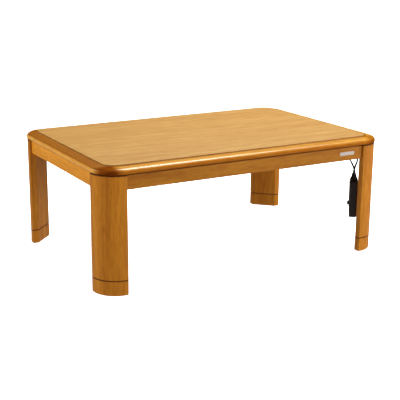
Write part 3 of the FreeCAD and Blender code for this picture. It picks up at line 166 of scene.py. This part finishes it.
def lay_cord(name, route):
    curve = bpy.data.curves.new(name, "CURVE")
    curve.dimensions = "3D"
    curve.bevel_depth = cord_diameter / 2
    curve.bevel_resolution = 4
    curve.use_fill_caps = True
    curve.resolution_u = 8
    spline = curve.splines.new("NURBS")
    spline.points.add(len(route) - 1)
    for point, place in zip(spline.points, route):
        point.co = (*place, 1)
    spline.order_u = 3
    spline.use_endpoint_u = True
    cord = bpy.data.objects.new(name, curve)
    bpy.context.collection.objects.link(cord)
    curve.materials.append(cord_rubber)
    return cord


heater_route = [
    (0.48092, -0.24743, 0.25339),
    (0.484, -0.2494, 0.2736),
    (0.494, -0.2534, 0.302),
    (0.4905, -0.2425, 0.3195),
    (0.4875, -0.2255, 0.3345),
    (0.4888, -0.203, 0.339),
    (0.489, -0.16, 0.339),
    (0.4875, -0.122, 0.3335),
    (0.489, -0.084, 0.339),
    (0.489, -0.028, 0.339),
    (0.484, 0.004, 0.3365),
    (0.463, 0.028, 0.3305),
    (0.428, 0.038, 0.321),
    (0.388, 0.037, 0.3125),
    (0.344, 0.032, 0.309),
    (0.3, 0.025, 0.316),
    (0.266, 0.02, 0.332),
    (0.241, 0.02, 0.332),
]
heater_cord = lay_cord("heater_cord", heater_route)
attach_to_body(heater_cord, "frame")
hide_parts("heater_lead")


# The mains cord is clipped along the front apron and down the front left leg. The
# rest of its length is put away there, wound in two layers of turns with a tie.
coil_centre = Vector((-0.441, -0.212))
coil_radius, coil_step, coil_layer, coil_level = 0.041, 0.0071, 0.0071, 0.00455
coil_start, coil_turns, turns_in = math.radians(-48), 4 + 26 / 360, 2.0
change_over = 0.5  # the share of a turn in which the cord climbs to the outward layer
points_each_turn = 16


def coil_point(turn):
    """A point of the coil, which winds inwards for turns_in turns and then back out."""
    inward = turn if turn < turns_in else 2 * turns_in - turn
    past = max(inward - (turns_in - change_over / 2), 0)
    climb = min(max((turn - turns_in + change_over / 2) / change_over, 0), 1)
    radius = coil_radius - coil_step * (inward - past * past / change_over)
    radius /= math.cos(math.pi / points_each_turn)
    angle = coil_start + 2 * math.pi * turn
    return (
        coil_centre.x + radius * math.cos(angle),
        coil_centre.y + radius * math.sin(angle),
        coil_level + coil_layer * climb * climb * (3 - 2 * climb),
    )


down_to_coil = [
    (0.47308, -0.26657, 0.25339),
    (0.4685, -0.2635, 0.2796),
    (0.449, -0.2695, 0.303),
    (0.424, -0.291, 0.3195),
    (0.39, -0.312, 0.336),
    (0.362, -0.314, 0.339),
    (0.32, -0.314, 0.339),
    (0.28, -0.3125, 0.3335),
    (0.24, -0.314, 0.339),
    (0.18, -0.314, 0.339),
    (0.14, -0.3125, 0.3335),
    (0.1, -0.314, 0.339),
    (0.04, -0.314, 0.339),
    (0.0, -0.3125, 0.334),
    (-0.04, -0.314, 0.339),
    (-0.1, -0.314, 0.339),
    (-0.14, -0.3125, 0.3335),
    (-0.18, -0.314, 0.339),
    (-0.24, -0.314, 0.339),
    (-0.28, -0.3125, 0.334),
    (-0.32, -0.314, 0.339),
    (-0.38, -0.314, 0.339),
    (-0.411, -0.306, 0.3295),
    (-0.438, -0.298, 0.31),
    (-0.4545, -0.2928, 0.293),
    (-0.46526, -0.29026, 0.272),
    (-0.46526, -0.29026, 0.225),
    (-0.4623, -0.2873, 0.19),
    (-0.46526, -0.29026, 0.155),
    (-0.46526, -0.29026, 0.105),
    (-0.4637, -0.2887, 0.07),
    (-0.461, -0.2858, 0.043),
    (-0.4548, -0.279, 0.0195),
    (-0.441, -0.2656, 0.0056),
    (-0.41828, -0.24696, 0.00455),
]
tail_to_plug = [
    (-0.3999, -0.22157, 0.01165),
    (-0.39, -0.1975, 0.0098),
    (-0.383, -0.1735, 0.0072),
    (-0.376, -0.149, 0.0078),
]
turns_of_coil = [
    coil_point(k / points_each_turn) for k in range(1, int(coil_turns * points_each_turn) + 1)
]
mains_cord = lay_cord("mains_cord", down_to_coil + turns_of_coil + tail_to_plug)
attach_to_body(mains_cord, "frame")
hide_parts("mains_lead", "mains_lead_coil")


# The floor is a plain white sheet, lit so evenly that it takes no shadow. A white
# backdrop stands round it, far off, and neither of them lights the table.
floor_width, backdrop_height, backdrop_sides = 90, 60, 96
bpy.ops.mesh.primitive_plane_add(size=floor_width, location=(0, 0, 0))
floor = bpy.context.object
floor.name = "floor"
sheet = Finish("floor_white", Roughness=0.9, Specular_IOR_Level=0.1)
sheet_colour = colour(255, 255, 255)
sheet_white = sheet.paint(
    Base_Color=sheet_colour, Emission_Color=sheet_colour, Emission_Strength=1.0)
floor.data.materials.append(sheet_white)
floor.visible_diffuse = floor.visible_glossy = False
bpy.ops.mesh.primitive_cylinder_add(
    vertices=backdrop_sides, radius=floor_width / 2, depth=backdrop_height, end_fill_type="NOTHING",
    location=(0, 0, backdrop_height / 2))
backdrop = bpy.context.object
backdrop.name = "backdrop"
backdrop.data.materials.append(sheet_white)
backdrop.visible_diffuse = backdrop.visible_glossy = backdrop.visible_shadow = False


# Soft studio light: a weak glow from below and above, large lamps at the left, the
# front and the right, a wide one over the table and a small one at the back.
scene = bpy.context.scene
scene.view_settings.view_transform = "Standard"
scene.world = bpy.data.worlds.new("studio")
scene.world.use_nodes = True
room = scene.world.node_tree
room_light = room.nodes["Background"]
room_light.inputs["Color"].default_value = (1, 1, 1, 1)
upward = room.nodes.new("ShaderNodeSeparateXYZ")
room.links.new(room.nodes.new("ShaderNodeTexCoord").outputs["Generated"], upward.inputs[0])
height = room.nodes.new("ShaderNodeMath")
height.operation = "MULTIPLY_ADD"
height.inputs[1].default_value = height.inputs[2].default_value = 0.5
room.links.new(upward.outputs["Z"], height.inputs[0])
glow_below, glow_above = 0.65, 0.13
glow_stops = ((0.36, glow_below), (0.42, 0.0), (0.6, 0.0), (0.8, glow_above))
brightness = room.nodes.new("ShaderNodeValToRGB")
while len(brightness.color_ramp.elements) < len(glow_stops):
    brightness.color_ramp.elements.new(0.5)
for element, (place, grey) in zip(brightness.color_ramp.elements, glow_stops):
    element.position, element.color = place, (grey, grey, grey, 1)
room.links.new(height.outputs[0], brightness.inputs[0])
room.links.new(brightness.outputs[0], room_light.inputs["Strength"])


def hang_lamp(name, place, target, size, watts):
    bpy.ops.object.light_add(type="AREA", location=place)
    lamp = bpy.context.object
    lamp.name = name
    lamp.data.shape = "RECTANGLE"
    lamp.data.size, lamp.data.size_y = size
    lamp.data.energy = watts
    way = Vector(target) - Vector(place)
    lamp.rotation_euler = way.to_track_quat("-Z", "Y").to_euler()


left_end, left_lamp_size = (-0.4, 0, 0.3), (1.6, 1.4)
hang_lamp("lamp_left_back", (-3.0, 1.7, 1.5), left_end, left_lamp_size, 24)
hang_lamp("lamp_left_front", (-3.2, -0.6, 1.7), left_end, left_lamp_size, 49)
hang_lamp("lamp_front", (1.4, -3.6, 1.5), (0.2, 0, 0.3), (2.8, 2.2), 50)
hang_lamp("lamp_right", (2.9, -2.6, 0.9), (0.3, -0.2, 0.3), (2.4, 1.7), 73)
hang_lamp("lamp_above", (0.95, 0.35, 3.2), (0.1, 0, 0.4), (2.3, 1.4), 180)
hang_lamp("lamp_back", (-1.9, 2.9, 0.6), (-0.5, 0, 0.38), (1.8, 1.0), 2.5)


# The table top's centre panel is veneered board, sanded, stained a honey colour
# and lacquered. Its grain runs along the table. The face of its edge, the step down
# to the rim, is painted dark as painted shade.
# The dark brown painted on as painted shade: under the rim, on the frame's tops, and in seams and
# grooves.
shade_brown = colour(104, 56, 12)


def wood(name, pale, deep, turn=(0, 0, 0), flecks=(28, 140), gloss=0.42, coat=0.06, sheen=0.14,
         toned=(), painted_shade=None, dark=shade_brown, thinned=None, bending=1.5):
    """Lacquered wood. A mask function of toned comes with the tone that it multiplies by;
    the shade mask marks parts painted in the dark colour as painted shade, which also
    lose their lacquer; and thinned is for thin lacquer."""
    finish = Finish(name, Coat_Roughness=0.3, Specular_IOR_Level=sheen, IOR=bending)
    streaked, pored = (1.1, 26.0, 26.0), (22.0, 900.0, 900.0)
    pore_tone, fleck_tone = (0.45, 0.38, 0.3, 1), (0.76, 0.62, 0.44, 1)
    pore_strength, cloud_strength, fleck_strength = 0.5, 0.16, 0.5
    wander = finish.noise(finish.place((0.9, 5.0, 5.0), turn), 1.6, 2.0)
    bent = finish.node(
        "ShaderNodeVectorMath", {"operation": "ADD"}, finish.place(streaked, turn),
        finish.node("ShaderNodeCombineXYZ", {}, 0.0, wander * 3.0, wander * 2.0))
    figure = finish.range(finish.noise(bent, 1.5, 5.0, 0.62), 0.3, 0.72)
    dark_pores = finish.range(finish.noise(finish.place(pored, turn), 1.0, 2.0, 0.6), 0.58, 0.72)
    cloud = finish.noise(finish.place((1, 1, 1), turn), 3.0, 2.0)
    clouded = finish.mix(
        finish.range(cloud, 0.3, 0.7, cloud_strength), finish.mix(figure, pale, deep), deep)
    veined = finish.mix(
        dark_pores * pore_strength, clouded, finish.mix(1.0, clouded, pore_tone, "MULTIPLY"))
    fleck = finish.noise(finish.place((flecks[0], flecks[1], flecks[1]), turn), 1.0, 3.0)
    veined = finish.mix(
        finish.range(fleck, 0.42, 0.66, fleck_strength), veined, fleck_tone, "MULTIPLY")
    for mask, tone in toned:
        veined = finish.mix(mask(finish), veined, tone, "MULTIPLY")
    # Where the shade mask is set, the colour is painted dark as painted shade.
    bare = painted_shade(finish) if painted_shade else figure * 0.0
    thin = thinned(finish) if thinned else bare
    return finish.paint(
        Base_Color=finish.mix(bare, veined, dark),
        Roughness=figure * 0.08 + dark_pores * 0.12 + gloss,
        Coat_Weight=thin.sum("MAXIMUM", thin, bare) * -coat + coat,
        Normal=finish.bump(dark_pores, -0.12, 0.0002),
    )


lengthways, crosswise, upright = 0, 1, 2


def from_middle(finish, axis):
    """The distance of a point from the table's middle on the floor, along one axis."""
    across = finish.node("ShaderNodeSeparateXYZ", {}, finish.place(), out=axis)
    return across.sum("ABSOLUTE", across)


def far_along(axis, start, end):
    """A mask that rises from 0 to 1 between two distances from the middle, on one axis."""
    return lambda finish: finish.range(from_middle(finish, axis), start, end)


def dress(material, *names):
    for name in names:
        mesh = nodes[name].data
        mesh.materials.clear()
        mesh.materials.append(material)


upright_grain = (0, math.radians(90), 0)
crosswise_grain = (0, 0, math.radians(90))
panel_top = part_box("top_panel")[1].z
# The panel's edge face below its top is painted dark: painted shade of the step.
edge_shade_start, edge_shade_full = panel_top - 0.0006, panel_top - 0.0016
dress(wood("panel_veneer", colour(174, 137, 75), colour(155, 112, 50), flecks=(15, 85),
           gloss=0.5, sheen=0.3, painted_shade=far_along(upright, edge_shade_start, edge_shade_full),
           dark=colour(158, 102, 36)), "top_panel")


# The rim is solid wood, run through a moulding cutter and glued round the panel, with
# thick glossy lacquer. Painted shade darkens its underside, the ledge by the step, the
# long strips' lower flank and the front of the corner blocks, and a painted shadow lies
# across the front left corner block; the other corner blocks' end grain is a little
# darker. The left strip is painted brighter, as painted light.
def both(one_mask, other_mask):
    return lambda finish: one_mask(finish) * other_mask(finish)


def either(one_mask, other_mask):
    def mask(finish):
        one, other = one_mask(finish), other_mask(finish)
        return one.sum("MAXIMUM", one, other)
    return mask


# Each pair says where a mask is 0 and where it is 1: heights, and then distances
# from the middle where a corner block turns from one side to the next.
ledge_heights, shoulder_heights = (0.3957, 0.3961), (0.3875, 0.3915)
flank_heights, thin_heights, under_heights = (0.3925, 0.386), (0.3905, 0.3875), (0.3798, 0.3768)
# The middle of each corner block: a painted shadow on the front left one, a slightly darker end
# grain on the others.
shade_and_end_grain = both(far_along(lengthways, 0.446, 0.475), far_along(crosswise, 0.28, 0.312))
on_front, on_side = far_along(crosswise, 0.305, 0.335), far_along(crosswise, 0.335, 0.305)
on_ledge, on_shoulder = far_along(upright, *ledge_heights), far_along(upright, *shoulder_heights)
on_flank, thin_flank = far_along(upright, *flank_heights), far_along(upright, *thin_heights)

# Tones of painted shade: the ledge by the step to the panel, the long strips' lower flank, the left
# side's shoulder, and a corner block's front as it turns.
step_shade, flank_shade = (0.5, 0.38, 0.22, 1), (0.9, 0.63, 0.75, 1)
shoulder_shade, turning_shade = (0.3, 0.22, 0.08, 1), (0.55, 0.56, 0.5, 1)
# End tones: a painted shadow on the front left corner, a darker end grain on the other corners.
painted_corner_shadow, warm_end, brown_end = (0.35, 0.2, 0.18, 1), (0.6, 0.5, 0.45, 1), (0.8, 0.74, 0.66, 1)
rim_pale, rim_deep = colour(194, 143, 46), colour(175, 119, 31)
# The left strip and left corner blocks take a brighter copy of the rim's colour, painted light from
# the left.
lit_left_pale, lit_left_deep = colour(253, 186, 66), colour(236, 160, 42)

# The rim's underside, over the frame, is painted dark as painted shade.
rim_look = {"coat": 1.0, "gloss": 0.4, "sheen": 0.08, "bending": 1.04,
            "painted_shade": far_along(upright, *under_heights), "thinned": thin_flank}
front_tones = [(on_flank, flank_shade), (on_ledge, step_shade)]
dress(wood("rim_wood_long", rim_pale, rim_deep, toned=front_tones, **rim_look),
      "top_rim_front", "top_rim_back")
dress(wood("rim_wood_right", rim_pale, rim_deep, crosswise_grain, **rim_look), "top_rim_right")
# The left strip's underside takes a lighter painted shade.
rim_look_left = dict(rim_look, thinned=None, dark=colour(140, 86, 32))
dress(wood("rim_wood_left", lit_left_pale, lit_left_deep, crosswise_grain,
           toned=[(on_shoulder, shoulder_shade)], **rim_look_left), "top_rim_left")

# The front left corner block: painted shade on its shoulder, front, ledge and flank, and a painted
# shadow across its middle.
turning_tones = [
    (both(on_shoulder, on_side), shoulder_shade), (on_front, turning_shade),
    (both(on_ledge, on_front), step_shade), (both(on_flank, on_front), flank_shade),
    (shade_and_end_grain, painted_corner_shadow)]
left_back_tones = [(on_shoulder, shoulder_shade), (shade_and_end_grain, brown_end)]
thin_left, thin_right = either(shade_and_end_grain, both(thin_flank, on_front)), either(shade_and_end_grain, thin_flank)
for corner, slant, pale, deep, toned, thinned in (
        ("front_left", 45, lit_left_pale, lit_left_deep, turning_tones, thin_left),
        ("back_left", -45, lit_left_pale, lit_left_deep, left_back_tones, thin_left),
        ("front_right", -45, rim_pale, rim_deep, front_tones + [(shade_and_end_grain, warm_end)], thin_right),
        ("back_right", 45, rim_pale, rim_deep, [(shade_and_end_grain, brown_end)], thin_right)):
    dress(wood(f"rim_wood_{corner}", pale, deep, (0, 0, math.radians(slant)),
               toned=toned, **dict(rim_look, thinned=thinned)), f"top_rim_corner_{corner}")


# The aprons are solid wood of one tone, planed and lacquered. Painted shade darkens
# their ends where they meet the legs, and their tops, which lie under the rim.
rim_shade = far_along(upright, 0.3703, 0.373)
joint_shade_start, joint_shade_full = 0.0025, 0.001
leg_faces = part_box("front_right_leg")
long_face, short_face = leg_faces[0].x, -leg_faces[1].y


# Painted shade at the apron's ends by the legs and along its top under the rim.
def apron_painted_shade(axis, leg_face):
    return either(far_along(axis, leg_face - joint_shade_start, leg_face - joint_shade_full), rim_shade)


apron_pale, apron_deep = colour(197, 130, 33), colour(168, 101, 16)
dress(wood("apron_wood_long", apron_pale, apron_deep, painted_shade=apron_painted_shade(lengthways, long_face)),
      "front_apron", "back_apron")
# The short aprons take a brighter copy of the long ones' colour, painted light from the left, and a
# lighter painted shade.
dress(wood("apron_wood_short", colour(249, 170, 42), colour(218, 134, 23), crosswise_grain,
           painted_shade=apron_painted_shade(crosswise, short_face), dark=colour(120, 70, 24)),
      "left_apron", "right_apron")


# The legs and the extension feet are cut from one thick rounded section, and the
# grain stands upright. The groove between a leg and its foot, and the legs' tops under
# the rim, are painted dark as painted shade.
corners = ("front_left", "front_right", "back_left", "back_right")
foot_top, groove_edge, groove_full = leg_faces[0].z, 0.0024, 0.0016


# Painted shade: a dark line in the groove where a leg meets its foot.
def foot_groove_shade(finish):
    off_groove = from_middle(finish, upright) - foot_top
    return finish.range(off_groove.sum("ABSOLUTE", off_groove), groove_edge, groove_full)


dress(wood("leg_wood", colour(214, 139, 36), colour(177, 103, 18), upright_grain,
           painted_shade=either(foot_groove_shade, rim_shade)),
      *(f"{corner}_{piece}" for piece in ("leg", "foot") for corner in corners))


# A bare plate of satin aluminium is stuck on the front apron, near its right end.
# It is stamped from thin sheet with rounded corners, and its face is brushed.
plate_size = Vector((0.058, 0.0008, 0.0118))
plate_left, plate_foot = 0.3455, 0.346
plate_corner, plate_easing = 0.0015, 0.0002


def add_block(name, size, middle):
    """A block that is ready for edit mode, selected alone."""
    bpy.ops.object.select_all(action="DESELECT")
    bpy.ops.mesh.primitive_cube_add(size=1, location=middle)
    block = bpy.context.object
    block.name = name
    block.scale = size
    bpy.ops.object.transform_apply(location=True, rotation=True, scale=True)
    return block


def bevel_edges(piece, width, steps, wanted):
    """Rounds the edges of a piece whose two ends are wanted."""
    bpy.ops.object.mode_set(mode="EDIT")
    bpy.ops.mesh.select_mode(type="EDGE")
    bpy.ops.mesh.select_all(action="DESELECT")
    bpy.ops.object.mode_set(mode="OBJECT")
    mesh = piece.data
    for edge in mesh.edges:
        edge.select = wanted(*(mesh.vertices[end].co for end in edge.vertices))
    bpy.ops.object.mode_set(mode="EDIT")
    bpy.ops.mesh.bevel(offset=width, segments=steps, affect="EDGES")
    bpy.ops.object.mode_set(mode="OBJECT")


def attach(piece, body, material):
    piece.data.materials.clear()
    piece.data.materials.append(material)
    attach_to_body(piece, body)


apron_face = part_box("front_apron")[0].y
plate_middle = Vector((plate_left, apron_face - plate_size.y, plate_foot)) + plate_size / 2
plate = add_block("bare_plate", plate_size, plate_middle)
half_thick = plate_size.y / 2
bevel_edges(plate, plate_corner, 4, lambda one, two: abs(one.y - two.y) > half_thick)
bevel_edges(plate, plate_easing, 2, lambda one, two: max(one.y, two.y) < apron_face - half_thick)
satin = Finish("plate_aluminium", Metallic=0.85)
brushed = satin.noise(satin.place((30.0, 900.0, 2500.0)), 1.0, 3.0)
attach(plate, "frame", satin.paint(
    Base_Color=satin.mix(brushed, colour(176, 164, 152), colour(202, 190, 178)),
    Roughness=brushed * 0.15 + 0.3,
))


# Pressed brackets, hanger bolts, nuts, washers and screws are steel with a thin
# yellowish zinc plating.
zinc = Finish("zinc_plating", Metallic=1.0)
zinc_cloud = zinc.noise(zinc.place(), 60.0, 3.0)
zinc_plating = zinc.paint(
    Base_Color=zinc.mix(zinc_cloud, colour(172, 168, 150), colour(206, 200, 178)),
    Roughness=zinc_cloud * 0.2 + 0.28,
    Normal=zinc.bump(zinc.noise(zinc.place(), 500.0, 2.0), 0.1, 0.0002),
)
dress(zinc_plating, "corner_brackets", "leg_hanger_bolts", "leg_bolt_washers", "leg_bolt_nuts",
      "bracket_screws", "heater_mounting_screws", "controller_screws")


# The cross rails and the trimmers are bare softwood, and the pegs are bare beech.
bare_pale, bare_deep = colour(214, 184, 138), colour(188, 150, 100)
dress(wood("rail_wood", bare_pale, bare_deep, crosswise_grain, gloss=0.6),
      "left_cross_rail", "right_cross_rail")
dress(wood("trimmer_wood", bare_pale, bare_deep, gloss=0.6),
      "front_heater_trimmer", "back_heater_trimmer")
dress(wood("peg_wood", colour(220, 186, 138), colour(196, 156, 104), upright_grain, gloss=0.6),
      *(f"{corner}_foot_pegs" for corner in corners))


# Four round pads of black rubber, pressed into the frame's corners, carry the
# loose top and keep it from sliding.
pad = Finish("pad_rubber")
pad_dust = pad.noise(pad.place(), 120.0, 3.0)
dress(pad.paint(Base_Color=pad.mix(pad_dust, colour(24, 24, 24), colour(44, 42, 40)),
                Roughness=pad_dust * 0.2 + 0.6), "top_rest_pads")


# The heater's pan is galvanised sheet with a crystal pattern, and the reflector in
# it is bright rolled aluminium.
pan = Finish("galvanised_sheet", Metallic=0.9)
spangle = pan.node("ShaderNodeTexVoronoi", {}, Vector=pan.place(), Scale=90.0, out=1)
spangle_grey = pan.node("ShaderNodeRGBToBW", {}, spangle)
dress(pan.paint(
    Base_Color=pan.mix(spangle_grey, colour(150, 153, 156), colour(188, 190, 192)),
    Roughness=spangle_grey * 0.2 + 0.3,
), "heater_housing")

bright = Finish("bright_aluminium", Metallic=1.0)
rolled = bright.noise(bright.place((900.0, 20.0, 900.0)), 1.0, 2.0)
dress(bright.paint(
    Base_Color=bright.mix(rolled, colour(222, 222, 222), colour(240, 240, 240)),
    Roughness=rolled * 0.1 + 0.12,
), "heater_reflector")


# Each quartz tube is clear red glass round a coiled resistance wire, which runs
# from one ceramic holder to the other.
quartz = Finish("quartz_glass", Roughness=0.08, IOR=1.46, Transmission_Weight=0.7)
haze = quartz.noise(quartz.place(), 40.0, 2.0)
dress(quartz.paint(
    Base_Color=quartz.mix(haze, colour(214, 92, 58), colour(226, 122, 84)), Alpha=0.62,
), "heater_quartz_tubes")

ceramic = Finish("white_ceramic")
speckle = ceramic.noise(ceramic.place(), 260.0, 3.0)
dress(ceramic.paint(
    Base_Color=ceramic.mix(speckle, colour(222, 216, 202), colour(240, 236, 226)),
    Roughness=speckle * 0.2 + 0.5,
), "heater_tube_holders", "heater_thermal_fuse")

filament_radius, filament_wire, filament_turns = 0.0031, 0.00045, 48
steps_each_turn, short_of_end = 10, 0.016
tubes_low, tubes_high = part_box("heater_quartz_tubes")
tube_radius = (tubes_high.z - tubes_low.z) / 2
filament_reach = tubes_high.y - short_of_end
wire_finish = Finish("resistance_wire", Metallic=0.9)
wire_heat = wire_finish.noise(wire_finish.place(), 80.0, 2.0)
resistance_wire = wire_finish.paint(
    Base_Color=wire_finish.mix(wire_heat, colour(110, 104, 98), colour(140, 128, 112)),
    Roughness=wire_heat * 0.2 + 0.35,
)
for side, x in (("left", tubes_low.x + tube_radius), ("right", tubes_high.x - tube_radius)):
    bpy.ops.object.select_all(action="DESELECT")
    bpy.ops.mesh.primitive_circle_add(
        vertices=6, radius=filament_wire, location=(filament_radius, 0, 0),
        rotation=(math.radians(90), 0, 0))
    filament = bpy.context.object
    filament.name = f"heater_filament_{side}"
    bpy.ops.object.transform_apply(location=True, rotation=True, scale=True)
    winding = filament.modifiers.new("winding", "SCREW")
    winding.axis = "Z"
    winding.angle = 2 * math.pi * filament_turns
    winding.screw_offset = filament_reach * 2
    winding.steps = winding.render_steps = filament_turns * steps_each_turn
    winding.use_merge_vertices = False
    bpy.ops.object.modifier_apply(modifier="winding")
    filament.rotation_euler = (math.radians(-90), 0, 0)
    filament.location = (x, -filament_reach, (tubes_low.z + tubes_high.z) / 2)
    bpy.ops.object.transform_apply(location=True, rotation=True, scale=True)
    bpy.ops.object.mode_set(mode="EDIT")
    bpy.ops.mesh.select_all(action="SELECT")
    bpy.ops.mesh.edge_face_add()
    bpy.ops.mesh.normals_make_consistent(inside=False)
    bpy.ops.object.mode_set(mode="OBJECT")
    bpy.ops.object.shade_smooth()
    attach(filament, "frame", resistance_wire)


# The guard under the tubes is a basket of steel wires. They are welded to a flat
# ring and painted black against the heat.
guard = Finish("guard_paint")
guard_speck = guard.noise(guard.place(), 300.0, 3.0)
dress(guard.paint(
    Base_Color=guard.mix(guard_speck, colour(22, 22, 22), colour(40, 39, 38)),
    Roughness=guard_speck * 0.25 + 0.5,
    Normal=guard.bump(guard_speck, 0.2, 0.0003),
), "heater_guard")


# The terminal cover, the connector, the plug and the inner switch are moulded
# black plastic with a fine spark-eroded grain.
def moulded(name, pale, deep, roughness=0.45):
    finish = Finish(name, Specular_IOR_Level=0.45)
    fine = finish.noise(finish.place(), 700.0, 3.0)
    broad = finish.noise(finish.place(), 9.0, 2.0)
    return finish.paint(
        Base_Color=finish.mix(broad, deep, pale),
        Roughness=broad * 0.12 + roughness,
        Normal=finish.bump(fine, 0.12, 0.0003),
    )


dress(moulded("black_plastic", colour(40, 38, 36), colour(24, 22, 21)),
      "heater_terminal_cover", "heater_thermostat", "lead_connector", "plug_body",
      "controller_slide_switch", "coil_tie")
dress(moulded("clip_plastic", colour(96, 66, 40), colour(70, 46, 28)), "cord_clips")
dress(cord_rubber, "controller_bushings")

brass = Finish("pin_brass", Metallic=1.0)
tarnish = brass.noise(brass.place(), 200.0, 3.0)
dress(brass.paint(
    Base_Color=brass.mix(tarnish, colour(206, 176, 112), colour(180, 146, 84)),
    Roughness=tarnish * 0.2 + 0.2,
), "plug_blades", "heater_inlet_pins")


# The hand controller's case is dark brown moulded plastic, its knob is ridged for
# the thumb, and its pilot lamp has a clear red lens.
dress(moulded("controller_plastic", colour(46, 36, 30), colour(30, 23, 19), 0.38),
      "controller_front_cover", "controller_back_cover")
dress(moulded("knob_plastic", colour(86, 74, 64), colour(66, 55, 47), 0.35), "controller_knob")
lens = Finish("lamp_lens", Coat_Weight=0.6, Coat_Roughness=0.05)
lens_depth = lens.noise(lens.place(), 300.0, 2.0)
dress(lens.paint(
    Base_Color=lens.mix(lens_depth, colour(150, 24, 16), colour(190, 44, 30)),
    Roughness=lens_depth * 0.1 + 0.12,
), "controller_lamp")
